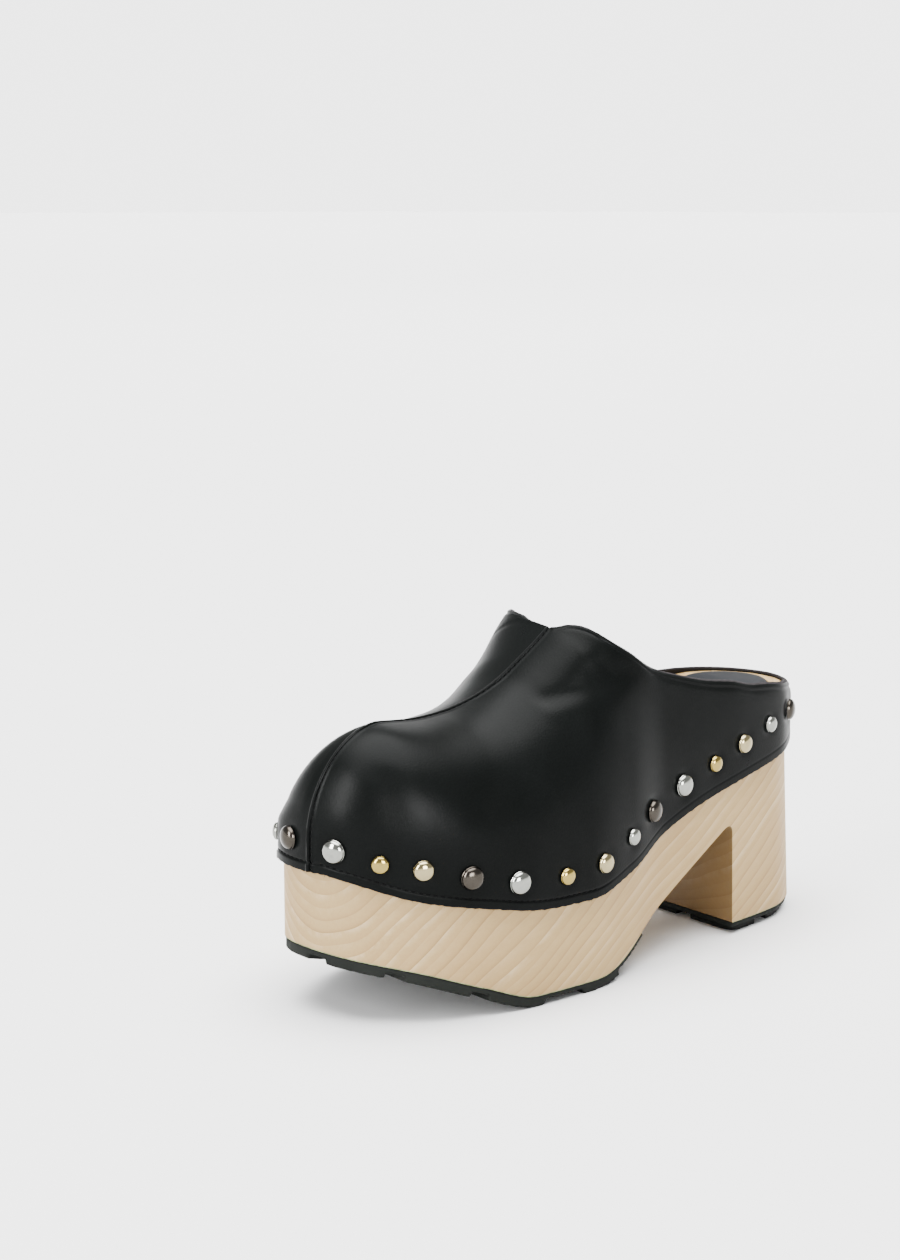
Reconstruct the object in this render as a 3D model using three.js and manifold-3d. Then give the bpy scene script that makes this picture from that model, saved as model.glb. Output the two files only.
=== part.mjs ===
// A left-foot clog: one wooden platform and block heel, two rubber treads, a padded insole,
// a black leather upper of two halves joined by a raised seam, and a row of domed studs that nails it on.
// Millimetres, +Z up, toe towards -Y, outer side of the foot towards +X.

import * as THREE from "three";
import { mergeVertices } from "three/addons/utils/BufferGeometryUtils.js";
import Module from "manifold-3d";

const wasm = await Module();
wasm.setup();

// Wooden sole
const SOLE_LENGTH = 246;
const BALL_WIDTH = 88;
const HEEL_WIDTH = 60;
const BALL_HEIGHT = 55;
const HEEL_HEIGHT = 97.5;
const TOE_SPRING = 22.8;
const NOTCH_HEIGHT = 49.5;
const NOTCH_FILLET = 6;
const SHANK_BLEND = 9;
const HEEL_LEAN = 5.4;
const HEEL_BREAST_LEAN = 1;

// Rubber treads
const BASE_THICKNESS = 2.2;
const LUG_DEPTH = 2.2;
const HEEL_LUG_DEPTH = 3;
const HEEL_LUG_INSET = 2.4;
const HEEL_LUG_ROUND = 7;
const TREAD_INSET = 0.4;
const CHANNEL_WIDTH = 8;

// Insole
const RIM_WIDTH = 7;
const POCKET_DEPTH = 2;
const PAD_RISE = 1.2;
const PAD_CHAMFER = 3;

// Leather upper
const LEATHER = 2;
const TOE_BOX_HEIGHT = 109.4;
const INSTEP_HEIGHT = 136.5;
const BAND_DEPTH = 16;
const HEM_WIDTH = 3.2;
const HEM_STEP = 0.4;
const SEAM_RIDGE = 0.5;
const SEAM_GROOVE = 0.4;
const SEAM_HALF_WIDTH = 1.5;

// Studs
const LARGE_STUD = 9.2;
const MEDIUM_STUD = 8;
const SMALL_STUD = 6.9;
const STUD_DOME = 0.3;
const STUD_SIDES = 10;

// Clearance between pieces that touch
const SEAT_GAP = 0.3;

const TREAD = SEAT_GAP + BASE_THICKNESS + LUG_DEPTH;
const HEEL_TREAD = SEAT_GAP + BASE_THICKNESS + HEEL_LUG_DEPTH;

// Share of the sole's length at which the heel's front face, the arch and the open throat begin
const HEEL_FRONT = 0.782;
const SHANK_START = 0.467;
const THROAT = 0.448;
const TOE_CROWN = 0.13;
const HEEL_CROWN = 0.88;

// Plan of the sole: half widths as shares of the ball's width, or of the heel's where heel is 1
const PLAN = [
  { at: 0, outer: -0.098, inner: 0.098, heel: 0 },
  { at: 0.02, outer: 0.135, inner: 0.278, heel: 0 },
  { at: 0.06, outer: 0.268, inner: 0.367, heel: 0 },
  { at: 0.12, outer: 0.381, inner: 0.449, heel: 0 },
  { at: 0.2, outer: 0.463, inner: 0.495, heel: 0 },
  { at: 0.3, outer: 0.507, inner: 0.497, heel: 0 },
  { at: 0.4, outer: 0.516, inner: 0.45, heel: 0 },
  { at: 0.5, outer: 0.472, inner: 0.386, heel: 0 },
  { at: 0.6, outer: 0.482, inner: 0.409, heel: 0.55 },
  { at: 0.7, outer: 0.545, inner: 0.49, heel: 1 },
  { at: 0.8, outer: 0.513, inner: 0.49, heel: 1 },
  { at: 0.9, outer: 0.45, inner: 0.445, heel: 1 },
  { at: 0.95, outer: 0.345, inner: 0.36, heel: 1 },
  { at: 0.985, outer: 0.2, inner: 0.215, heel: 1 },
  { at: 1, outer: 0, inner: 0, heel: 1 },
];

// Side view: how much of the toe spring lifts the underside and the top edge, how far the top edge
// has climbed from ball to heel, and how deep the leather's band reaches down over the wood
const SIDE = [
  { at: 0, under: 1, toe: 0.62, climb: 0, band: 0.7 },
  { at: 0.1, under: 0.714, toe: 0.38, climb: 0, band: 0.94 },
  { at: 0.2, under: 0.33, toe: 0.19, climb: 0, band: 0.99 },
  { at: 0.3, under: 0, toe: 0.01, climb: 0, band: 1 },
  { at: 0.34, under: 0, toe: 0, climb: 0, band: 1.02 },
  { at: 0.4, under: 0, toe: 0, climb: 0.012, band: 1.06 },
  { at: 0.5, under: 0, toe: 0, climb: 0.17, band: 1.13 },
  { at: 0.6, under: 0, toe: 0, climb: 0.42, band: 1.162 },
  { at: 0.7, under: 0, toe: 0, climb: 0.64, band: 1.273 },
  { at: 0.8, under: 0, toe: 0, climb: 0.875, band: 1.57 },
  { at: 0.9, under: 0, toe: 0, climb: 1.015, band: 1.66 },
  { at: 1, under: 0, toe: 0, climb: 1, band: 1.262 },
];

// Crown line of the upper: height as a share of the way from toe box to instep, and how far it lies
// to the outer side, as a share of the ball's width. Past the throat it only steers the side walls.
const CROWN = [
  { at: 0.13, height: 0, side: 0.001 },
  { at: 0.2, height: -0.05, side: 0.008 },
  { at: 0.25, height: -0.022, side: 0.012 },
  { at: 0.3, height: 0.08, side: 0.022 },
  { at: 0.35, height: 0.28, side: 0.042 },
  { at: 0.4, height: 0.61, side: 0.066 },
  { at: 0.45, height: 1, side: 0.088 },
  { at: 0.5, height: 1.46, side: 0.09 },
  { at: 0.6, height: 2.16, side: 0.065 },
  { at: 0.7, height: 2.68, side: 0.034 },
  { at: 0.88, height: 3.05, side: 0 },
];

// Fullness of the arch from band to crown on each side: 2 is a plain ellipse, more is squarer
const FULLNESS = [
  { at: 0, outer: 2, inner: 1.9 },
  { at: 0.03, outer: 2.05, inner: 1.55 },
  { at: 0.1, outer: 2.15, inner: 1.55 },
  { at: 0.2, outer: 2.1, inner: 1.7 },
  { at: 0.3, outer: 2.1, inner: 1.85 },
  { at: 0.4, outer: 2, inner: 2.4 },
  { at: 0.5, outer: 2, inner: 4 },
  { at: 0.6, outer: 2, inner: 3 },
  { at: 0.8, outer: 2, inner: 2 },
  { at: 1, outer: 2, inner: 2 },
];

// Collar on each side: height above the wood as a share of the crown line's, from the seam's end to the heel
const COLLAR = [
  { at: 0.448, outer: 1, inner: 1 },
  { at: 0.459, outer: 0.986, inner: 0.99 },
  { at: 0.472, outer: 0.947, inner: 0.95 },
  { at: 0.489, outer: 0.868, inner: 0.895 },
  { at: 0.509, outer: 0.783, inner: 0.825 },
  { at: 0.54, outer: 0.673, inner: 0.72 },
  { at: 0.587, outer: 0.513, inner: 0.56 },
  { at: 0.639, outer: 0.397, inner: 0.41 },
  { at: 0.691, outer: 0.305, inner: 0.28 },
  { at: 0.774, outer: 0.186, inner: 0.13 },
  { at: 0.834, outer: 0.1, inner: 0.055 },
  { at: 0.904, outer: 0.04, inner: 0.016 },
  { at: 1, outer: 0.01, inner: 0.01 },
];

// Lugs along the forefoot and the heel, from and to shares of the sole's length
const FOREFOOT_LUGS = [
  { from: 0, to: 0.067 },
  { from: 0.093, to: 0.186 },
  { from: 0.216, to: 0.314 },
  { from: 0.393, to: 0.475 },
];
const HEEL_LUGS = [
  { from: 0.775, to: 0.862 },
  { from: 0.895, to: 1.03 },
];
const FOREFOOT_TREAD_END = 0.545;

// Studs from the seam back along each side: kind, step from the one before, height above the hem
const OUTER_STUDS = [
  { kind: "silver_large", step: 10.5, rise: 10.8 },
  { kind: "gold_small", step: 17.8, rise: 11 },
  { kind: "pale_medium", step: 16.1, rise: 12.5 },
  { kind: "gunmetal_large", step: 18.8, rise: 11.6 },
  { kind: "silver_large", step: 20.2, rise: 10.8 },
  { kind: "gold_small", step: 22.6, rise: 11.4 },
  { kind: "pale_medium", step: 20.1, rise: 12.2 },
  { kind: "silver_small", step: 18.6, rise: 13.6 },
  { kind: "gunmetal_large", step: 16, rise: 14.2 },
  { kind: "silver_large", step: 20.3, rise: 13 },
  { kind: "gold_small", step: 19.6, rise: 13 },
  { kind: "pale_medium", step: 18.2, rise: 14.5 },
  { kind: "silver_small", step: 18, rise: 16.3 },
  { kind: "gunmetal_large", step: 18.5, rise: 15.6 },
];
const INNER_STUDS = [
  { kind: "gunmetal_large", step: 12, rise: 10.8 },
  { kind: "silver_small", step: 18, rise: 11 },
  { kind: "pale_medium", step: 18.5, rise: 12.2 },
  { kind: "gold_small", step: 18.5, rise: 11.6 },
  { kind: "silver_large", step: 19, rise: 10.8 },
  { kind: "gunmetal_large", step: 19.5, rise: 11.4 },
  { kind: "silver_small", step: 19.5, rise: 12.2 },
  { kind: "pale_medium", step: 19, rise: 14 },
  { kind: "gold_small", step: 18.5, rise: 15.2 },
  { kind: "silver_large", step: 18.5, rise: 15 },
  { kind: "gunmetal_large", step: 19, rise: 14.6 },
  { kind: "silver_small", step: 19, rise: 15.6 },
  { kind: "pale_medium", step: 18.5, rise: 16.8 },
  { kind: "gold_small", step: 18.5, rise: 16.2 },
];

const STUD_KINDS = {
  silver_large: { size: LARGE_STUD, color: 0xd9dadb },
  silver_small: { size: SMALL_STUD, color: 0xd9dadb },
  gold_small: { size: SMALL_STUD, color: 0xc9ab62 },
  pale_medium: { size: MEDIUM_STUD, color: 0xd9c89c },
  gunmetal_large: { size: LARGE_STUD, color: 0x6c6760 },
};

const OUTER = 1;
const INNER = -1;
const TOE_COLUMNS = 20;
const HEEL_COLUMNS = 26;
const ARCH_ROWS = 9;

const WOOD = { color: 0xd9c0a0, roughness: 0.55, metalness: 0 };
const RUBBER = { color: 0x22251f, roughness: 0.8, metalness: 0 };
const PAD = { color: 0x34373d, roughness: 0.85, metalness: 0 };
const BLACK_LEATHER = { color: 0x141516, roughness: 0.42, metalness: 0 };

// Smooth curve through one column of a table that never overshoots its rows
function track(rows, value, position = (row) => row.at) {
  const x = rows.map(position);
  const y = rows.map(value);
  const last = rows.length - 1;
  const slope = (i) => (y[i + 1] - y[i]) / (x[i + 1] - x[i]);
  const tangent = rows.map((row, i) => {
    if (i === 0) return slope(0);
    if (i === last) return slope(last - 1);
    const before = slope(i - 1);
    const after = slope(i);
    if (before * after <= 0) return 0;
    return (2 * before * after) / (before + after);
  });
  return (at) => {
    const p = Math.min(Math.max(at, x[0]), x[last]);
    let i = 0;
    while (i < last - 1 && p > x[i + 1]) i += 1;
    const h = x[i + 1] - x[i];
    const t = (p - x[i]) / h;
    const start = (1 + 2 * t) * (1 - t) ** 2 * y[i] + t * (1 - t) ** 2 * h * tangent[i];
    const end = t * t * (3 - 2 * t) * y[i + 1] + t * t * (t - 1) * h * tangent[i + 1];
    return start + end;
  };
}

// The plan is tracked by angle, so that toe and heel come out round
const turn = (at) => Math.acos(Math.min(Math.max(1 - 2 * at, -1), 1)) / Math.PI;
const planSize = (row) => BALL_WIDTH + (HEEL_WIDTH - BALL_WIDTH) * row.heel;
const outerHalf = track(PLAN, (row) => row.outer * planSize(row), (row) => turn(row.at));
const innerHalf = track(PLAN, (row) => row.inner * planSize(row), (row) => turn(row.at));

const under = track(SIDE, (row) => TREAD + TOE_SPRING * row.under);
const bed = track(
  SIDE,
  (row) => BALL_HEIGHT + TOE_SPRING * row.toe + (HEEL_HEIGHT - BALL_HEIGHT) * row.climb,
);
const hem = track(
  SIDE,
  (row) =>
    BALL_HEIGHT + TOE_SPRING * row.toe + (HEEL_HEIGHT - BALL_HEIGHT) * row.climb - BAND_DEPTH * row.band,
);
const crownHeight = track(CROWN, (row) => TOE_BOX_HEIGHT + (INSTEP_HEIGHT - TOE_BOX_HEIGHT) * row.height);
const crownSide = track(CROWN, (row) => row.side * BALL_WIDTH);
const fullness = {
  [OUTER]: track(FULLNESS, (row) => row.outer),
  [INNER]: track(FULLNESS, (row) => row.inner),
};
const collarShare = {
  [OUTER]: track(COLLAR, (row) => row.outer),
  [INNER]: track(COLLAR, (row) => row.inner),
};
const collarReach = (side, at) =>
  (Math.asin(Math.min(collarShare[side](at), 1) ** (fullness[side](at) / 2)) * 2) / Math.PI;

const alongSole = (at) => SOLE_LENGTH * (at - 0.5);
const shareOf = (y) => y / SOLE_LENGTH + 0.5;

// Angle share at which the seam meets the outline, on the outer side of the tip
const seamTurn = (() => {
  let low = 0;
  let high = 0.2;
  for (let i = 0; i < 40; i += 1) {
    const middle = (low + high) / 2;
    if (outerHalf(middle) < crownSide(TOE_CROWN)) low = middle;
    else high = middle;
  }
  return low;
})();

// Plan point on one side, u from the seam (0) round to the middle of the heel (1)
function planPoint(side, u) {
  const share = side === OUTER ? seamTurn + (1 - seamTurn) * u : -seamTurn + (1 + seamTurn) * u;
  const angle = Math.abs(share);
  const inner = side === INNER && share > 0;
  const x = inner ? -innerHalf(angle) : outerHalf(angle);
  return new THREE.Vector2(x, (-SOLE_LENGTH / 2) * Math.cos(Math.PI * angle));
}

// The same point moved outwards by a distance, with its outward direction and its share of the length
function edgePoint(side, u, out) {
  const step = 1e-3;
  const here = planPoint(side, u);
  const ahead = u + step > 1 ? planPoint(-side, 2 - u - step) : planPoint(side, u + step);
  const behind = u - step < 0 ? planPoint(-side, step - u) : planPoint(side, u - step);
  const along = ahead.sub(behind).normalize();
  const normal = new THREE.Vector2(side * along.y, -side * along.x);
  return { x: here.x + normal.x * out, y: here.y + normal.y * out, normal, at: shareOf(here.y) };
}

// How far round one side the outline reaches a share of the length
function shareOfColumn(at, side) {
  let low = 0;
  let high = 1;
  for (let i = 0; i < 40; i += 1) {
    const middle = (low + high) / 2;
    if (shareOf(planPoint(side, middle).y) < at) low = middle;
    else high = middle;
  }
  return low;
}

// Columns round each side, with one exactly at the throat
function columnsOf(side) {
  const low = shareOfColumn(THROAT, side);
  const columns = [];
  for (let i = 0; i <= TOE_COLUMNS; i += 1) columns.push((low * i) / TOE_COLUMNS);
  for (let i = 1; i <= HEEL_COLUMNS; i += 1) {
    const t = i / HEEL_COLUMNS;
    columns.push(low + (1 - low) * (0.45 * t + 0.55 * t * t));
  }
  columns.splice(1, 0, seamColumn(1), seamColumn(2));
  return columns;
}

// Two more columns stand close to the seam, to carry its ridge down the toe
function seamColumn(widths) {
  return (widths * SEAM_HALF_WIDTH) / (SOLE_LENGTH * 0.95);
}

const COLUMNS = { [OUTER]: columnsOf(OUTER), [INNER]: columnsOf(INNER) };

// A solid from a list of vertices and triangles
function solidOf(vertices, triangles) {
  const geometry = new THREE.BufferGeometry();
  geometry.setAttribute("position", new THREE.Float32BufferAttribute(vertices.flat(), 3));
  geometry.setIndex(triangles.flat());
  return geometry;
}

// A three.js geometry as a solid for cutting and joining
function cuttable(geometry) {
  const bare = geometry.clone();
  bare.deleteAttribute("normal");
  bare.deleteAttribute("uv");
  const merged = mergeVertices(bare, 1e-4);
  const mesh = new wasm.Mesh({
    numProp: 3,
    vertProperties: new Float32Array(merged.attributes.position.array),
    triVerts: new Uint32Array(merged.index.array),
  });
  return new wasm.Manifold(mesh);
}

function geometryOf(solid) {
  const mesh = solid.getMesh();
  const geometry = new THREE.BufferGeometry();
  geometry.setAttribute("position", new THREE.BufferAttribute(mesh.vertProperties, 3));
  geometry.setIndex(new THREE.BufferAttribute(mesh.triVerts, 1));
  return geometry;
}

// A body between rings that follow the sole's outline: each ring gives how far out it lies and its height
function outlineBody(rings) {
  const outer = COLUMNS[OUTER];
  const inner = COLUMNS[INNER];
  const last = outer.length - 1;
  const round = 2 * last;
  const vertices = [];
  rings.forEach((ring) => {
    for (let i = 0; i < round; i += 1) {
      const side = i <= last ? OUTER : INNER;
      const u = i <= last ? outer[i] : inner[round - i];
      const p = edgePoint(side, u, ring.out);
      vertices.push([p.x, p.y + (ring.lean ? ring.lean(p.at) : 0), ring.height(p.at)]);
    }
  });
  const triangles = [];
  for (let r = 0; r < rings.length - 1; r += 1) {
    for (let i = 0; i < round; i += 1) {
      const a = r * round + i;
      const b = r * round + ((i + 1) % round);
      triangles.push([a, b, b + round], [a, b + round, a + round]);
    }
  }
  const top = (rings.length - 1) * round;
  for (let i = 0; i < last; i += 1) {
    const left = i;
    const right = (round - i) % round;
    const nextLeft = i + 1;
    const nextRight = round - i - 1;
    if (i > 0) {
      triangles.push([left, right, nextLeft], [top + left, top + nextLeft, top + right]);
    }
    if (i < last - 1) {
      triangles.push([nextLeft, right, nextRight], [top + nextLeft, top + nextRight, top + right]);
    }
  }
  return solidOf(vertices, triangles);
}

// A slab across the sole with a given outline in the side view
function sideSlab(points, width = 2 * BALL_WIDTH) {
  const shape = new THREE.Shape(points.map(([y, z]) => new THREE.Vector2(y, z)));
  const geometry = new THREE.ExtrudeGeometry(shape, { depth: width, bevelEnabled: false });
  geometry.translate(0, 0, -width / 2);
  const toSide = new THREE.Matrix4().makeBasis(
    new THREE.Vector3(0, 1, 0),
    new THREE.Vector3(0, 0, 1),
    new THREE.Vector3(1, 0, 0),
  );
  return geometry.applyMatrix4(toSide);
}

// Underside of the wood: rocker at the toe, flat under the ball, then the straight rise to the notch
const shankSlope = (NOTCH_HEIGHT - TREAD) / (SOLE_LENGTH * (HEEL_FRONT - SHANK_START));
function underside(at) {
  const run = alongSole(at) - alongSole(SHANK_START);
  const bend = Math.min(Math.max(run + SHANK_BLEND, 0), 2 * SHANK_BLEND);
  return under(at) + shankSlope * (bend ** 2 / (4 * SHANK_BLEND) + Math.max(run - SHANK_BLEND, 0));
}

// A point below the underside, measured square to it
function belowWood(at, drop) {
  const step = 1e-3;
  const rise = (underside(at + step) - underside(at - step)) / (2 * step * SOLE_LENGTH);
  const length = Math.hypot(1, rise);
  return [alongSole(at) + (drop * rise) / length, underside(at) - drop / length];
}

function shares(from, to, count) {
  return Array.from({ length: count + 1 }, (_, i) => from + ((to - from) * i) / count);
}

const heelLean = (at) => HEEL_LEAN * Math.min(Math.max((at - HEEL_FRONT) / (1 - HEEL_FRONT), 0), 1);
const BEYOND = HEEL_HEIGHT / 5;

// The whole outline, upright above the hem; below it the heel's back leans outwards down to the floor
function woodBlock(out) {
  return outlineBody([
    { out, height: () => -HEEL_TREAD, lean: heelLean },
    { out, height: (at) => hem(at) - HEM_WIDTH },
    { out, height: () => HEEL_HEIGHT + BEYOND },
  ]);
}

function makeWoodenSole() {
  const corner = new THREE.Vector2(alongSole(HEEL_FRONT), NOTCH_HEIGHT);
  const fillet = new THREE.QuadraticBezierCurve(
    new THREE.Vector2(corner.x - NOTCH_FILLET, corner.y - NOTCH_FILLET * shankSlope),
    corner,
    new THREE.Vector2(corner.x, corner.y - NOTCH_FILLET),
  );
  const points = shares(0, shareOf(corner.x - NOTCH_FILLET) - 0.01, 56).map((at) => [
    alongSole(at),
    underside(at),
  ]);
  points.unshift([alongSole(0) - BEYOND, underside(0) + 2]);
  fillet.getPoints(6).forEach((p) => points.push([p.x, p.y]));
  points.push([corner.x + HEEL_BREAST_LEAN, HEEL_TREAD]);
  points.push([alongSole(1) + BEYOND, HEEL_TREAD]);
  points.push([alongSole(1) + BEYOND, bed(1)]);
  shares(1, 0, 40).forEach((at) => points.push([alongSole(at), bed(at)]));
  points.push([alongSole(0) - BEYOND, bed(0)]);
  const block = cuttable(woodBlock(0)).intersect(cuttable(sideSlab(points)));
  const pocket = outlineBody([
    { out: -RIM_WIDTH, height: (at) => bed(at) - POCKET_DEPTH },
    { out: -RIM_WIDTH, height: (at) => bed(at) + BEYOND },
  ]);
  return geometryOf(block.subtract(cuttable(pocket)));
}

function makeInsole() {
  const edge = -RIM_WIDTH - SEAT_GAP;
  return outlineBody([
    { out: edge, height: (at) => bed(at) - POCKET_DEPTH + SEAT_GAP },
    { out: edge, height: (at) => bed(at) - SEAT_GAP },
    { out: edge - PAD_CHAMFER, height: (at) => bed(at) + PAD_RISE },
  ]);
}

// A strip of rubber under the wood between two drops and two shares of the length
function rubberStrip(from, to, top, bottom, count, width) {
  const upper = shares(to, from, count).map((at) => belowWood(at, top));
  const lower = shares(from, to, count).map((at) => belowWood(at, bottom));
  return cuttable(sideSlab([...lower, ...upper], width));
}

function makeForefootTread() {
  const block = cuttable(woodBlock(-TREAD_INSET));
  const base = rubberStrip(-0.02, FOREFOOT_TREAD_END, SEAT_GAP, SEAT_GAP + BASE_THICKNESS, 48);
  const lugTop = SEAT_GAP + BASE_THICKNESS / 2;
  const joined = FOREFOOT_LUGS.reduce(
    (rubber, lug) => rubber.add(lugPair(lug.from - (lug.from === 0 ? 0.02 : 0), lug.to, lugTop)),
    base,
  );
  return geometryOf(joined.intersect(block));
}

// One lug across the sole, split in two by the channel along the middle
function lugPair(from, to, top) {
  const past = 0.03;
  const base = SEAT_GAP + BASE_THICKNESS;
  const channel = rubberStrip(from - past, to + past, base, base + 2 * TREAD, 12, CHANNEL_WIDTH);
  return rubberStrip(from, to, top, TREAD, 6).subtract(channel);
}

// Heel rubber: a base under the whole heel and two pairs of lugs set in from its edge, round at the front
function makeHeelTread() {
  const flat = (from, to, top, bottom, width) =>
    cuttable(
      sideSlab(
        [
          [alongSole(from), bottom],
          [alongSole(to), bottom],
          [alongSole(to), top],
          [alongSole(from), top],
        ],
        width,
      ),
    );
  const front = shareOf(alongSole(HEEL_FRONT) + HEEL_BREAST_LEAN + TREAD_INSET);
  const lugFront = front + HEEL_LUG_INSET / SOLE_LENGTH;
  const lugTop = HEEL_LUG_DEPTH + BASE_THICKNESS / 2;
  const base = flat(front, 1.1, HEEL_TREAD - SEAT_GAP, HEEL_LUG_DEPTH);
  const channel = flat(0.7, 1.1, HEEL_LUG_DEPTH, -HEEL_LUG_DEPTH, CHANNEL_WIDTH);
  const lugs = HEEL_LUGS.map((lug) => flat(Math.max(lug.from, lugFront), lug.to, lugTop, 0));
  const inside = cuttable(woodBlock(-HEEL_LUG_INSET)).intersect(cuttable(roundFront(lugFront)));
  const joined = lugs.reduce((rubber, lug) => rubber.add(lug.intersect(inside).subtract(channel)), base);
  return geometryOf(joined.intersect(cuttable(woodBlock(-TREAD_INSET))));
}

// A block as wide as the heel lugs at their front, with its two front corners rounded
function roundFront(front) {
  const outer = edgePoint(OUTER, shareOfColumn(front, OUTER), -HEEL_LUG_INSET).x;
  const inner = edgePoint(INNER, shareOfColumn(front, INNER), -HEEL_LUG_INSET).x;
  const y = alongSole(front);
  const shape = new THREE.Shape();
  shape.moveTo(inner, y + HEEL_LUG_ROUND);
  shape.quadraticCurveTo(inner, y, inner + HEEL_LUG_ROUND, y);
  shape.lineTo(outer - HEEL_LUG_ROUND, y);
  shape.quadraticCurveTo(outer, y, outer, y + HEEL_LUG_ROUND);
  shape.lineTo(outer, SOLE_LENGTH);
  shape.lineTo(inner, SOLE_LENGTH);
  const depth = 2 * HEEL_TREAD;
  const geometry = new THREE.ExtrudeGeometry(shape, { depth, bevelEnabled: false, curveSegments: 5 });
  return geometry.translate(0, 0, -HEEL_TREAD);
}

// Station on the crown line that the arch from a base station leans towards
function crownStation(at) {
  const forward = Math.cbrt(at ** 3 + TOE_CROWN ** 3);
  const soft = 0.04;
  return -soft * Math.log(Math.exp(-forward / soft) + Math.exp(-HEEL_CROWN / soft));
}

// Outer face of the leather: reach 0 is the top of the band, 1 the crown
function archPoint(side, u, reach) {
  const base = edgePoint(side, u, SEAT_GAP + LEATHER);
  const crown = crownStation(base.at);
  const top = new THREE.Vector3(crownSide(crown), alongSole(crown), crownHeight(crown));
  const angle = (reach * Math.PI) / 2;
  const power = 2 / fullness[side](base.at);
  const inward = 1 - Math.max(Math.cos(angle), 0) ** power;
  const upward = Math.sin(angle) ** power;
  const level = bed(base.at);
  return new THREE.Vector3(
    base.x + (top.x - base.x) * inward,
    base.y + (top.y - base.y) * inward,
    level + (top.z - level) * upward,
  );
}

// Rows of one column, from the hem up to the seam or the collar
function leatherColumn(side, u) {
  const base = edgePoint(side, u, SEAT_GAP + LEATHER);
  const low = hem(base.at);
  const level = bed(base.at);
  const heights = [low, low + HEM_WIDTH, low + HEM_WIDTH + 0.5, (low + level) / 2 + 2];
  const column = heights.map((z) => new THREE.Vector3(base.x, base.y, z));
  const reach = collarReach(side, base.at);
  for (let row = 0; row <= ARCH_ROWS; row += 1) {
    const t = row / ARCH_ROWS;
    column.push(archPoint(side, u, reach * (t + 0.12 * Math.sin(Math.PI * t) * reach)));
  }
  const onSeam = base.at <= THROAT + 1e-3;
  const crest = column.length - 1;
  if (onSeam) {
    column.splice(crest, 0, nearSeam(column, 2), nearSeam(column, 1));
  } else {
    column.splice(crest, 0, blend(column, 0.5), blend(column, 0.8));
  }
  return column;
}

function nearSeam(column, widths) {
  const top = column[column.length - 1];
  const below = column[column.length - 2];
  const away = below.clone().sub(top);
  const share = Math.min((widths * SEAM_HALF_WIDTH) / away.length(), widths === 2 ? 0.8 : 0.4);
  return top.clone().addScaledVector(away, share);
}

function blend(column, share) {
  return column[column.length - 2].clone().lerp(column[column.length - 1], share);
}

// Polyline of the seam, from the hem at the toe up to the throat
const SEAM_LINE = (() => {
  const first = leatherColumn(OUTER, 0);
  const onCrown = COLUMNS[OUTER].filter((u) => edgePoint(OUTER, u, 0).at <= THROAT + 1e-6);
  return [...first, ...onCrown.map((u) => archPoint(OUTER, u, 1))];
})();

function seamDistance(point) {
  const segment = new THREE.Line3();
  const nearest = new THREE.Vector3();
  let best = Infinity;
  for (let i = 0; i < SEAM_LINE.length - 1; i += 1) {
    segment.set(SEAM_LINE[i], SEAM_LINE[i + 1]);
    if (segment.distance() < 1e-6) continue;
    segment.closestPointToPoint(point, true, nearest);
    best = Math.min(best, nearest.distanceTo(point));
  }
  return best;
}

// The two halves roll up beside the seam and sink into it; the hem is a double edge
function relief(point, row) {
  const far = seamDistance(point) / SEAM_HALF_WIDTH;
  const ridge = SEAM_RIDGE * Math.exp(-((far - 1) ** 2) * 4);
  const groove = SEAM_GROOVE * Math.exp(-(far ** 2) * 6);
  return ridge - groove + (row < 2 ? HEM_STEP : 0);
}

function makeUpper() {
  const columns = COLUMNS[OUTER].map((u) => leatherColumn(OUTER, u));
  const back = COLUMNS[INNER].map((u) => leatherColumn(INNER, u));
  const last = columns.length - 1;
  const throat = TOE_COLUMNS + 2;
  for (let i = last - 1; i > 0; i -= 1) columns.push(back[i]);
  const rows = columns[0].length;
  const count = columns.length;
  const outerFace = columns.flat();

  // A column that ends on the seam shares its top point with the column of the other side
  const seat = (i, row) => {
    const partner = count - i;
    const shared = row === rows - 1 && i > last && partner <= throat;
    return (shared ? partner : i % count) * rows + row;
  };
  const faces = [];
  for (let i = 0; i < count; i += 1) {
    for (let row = 0; row < rows - 1; row += 1) {
      const a = seat(i, row);
      const b = seat((i + 1) % count, row);
      const c = seat((i + 1) % count, row + 1);
      const d = seat(i, row + 1);
      faces.push([a, b, c], [a, c, d]);
    }
  }
  const skin = solidOf(outerFace.map((p) => p.toArray()), faces);
  skin.computeVertexNormals();
  const normals = skin.attributes.normal;
  const outerPoints = [];
  const innerPoints = [];
  outerFace.forEach((point, k) => {
    const normal = new THREE.Vector3().fromBufferAttribute(normals, k);
    const row = k % rows;
    if (row < 4) normal.setZ(0).normalize();
    outerPoints.push(point.clone().addScaledVector(normal, relief(point, row)).toArray());
    innerPoints.push(point.clone().addScaledVector(normal, -LEATHER).toArray());
  });
  const half = outerPoints.length;
  const triangles = [...faces, ...faces.map(([a, b, c]) => [half + a, half + c, half + b])];
  const close = (a, b) => triangles.push([a, half + b, b], [a, half + a, half + b]);
  for (let i = 0; i < count; i += 1) {
    const next = (i + 1) % count;
    close(seat(i, 0), seat(next, 0));
    const overThroat = i >= throat && i < count - throat;
    if (overThroat) close(seat(next, rows - 1), seat(i, rows - 1));
  }
  return solidOf([...outerPoints, ...innerPoints], triangles);
}

// A domed nail head with a flat underside
function studGeometry(size) {
  const radius = size / 2;
  const dome = size * STUD_DOME;
  const profile = [new THREE.Vector2(0, 0), new THREE.Vector2(radius, 0)];
  [0.35, 0.7, 1].forEach((share) => {
    const angle = (share * Math.PI) / 2;
    const x = share === 1 ? 0 : radius * Math.cos(angle);
    profile.push(new THREE.Vector2(x, dome * Math.sin(angle)));
  });
  return new THREE.LatheGeometry(profile, STUD_SIDES);
}

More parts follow.
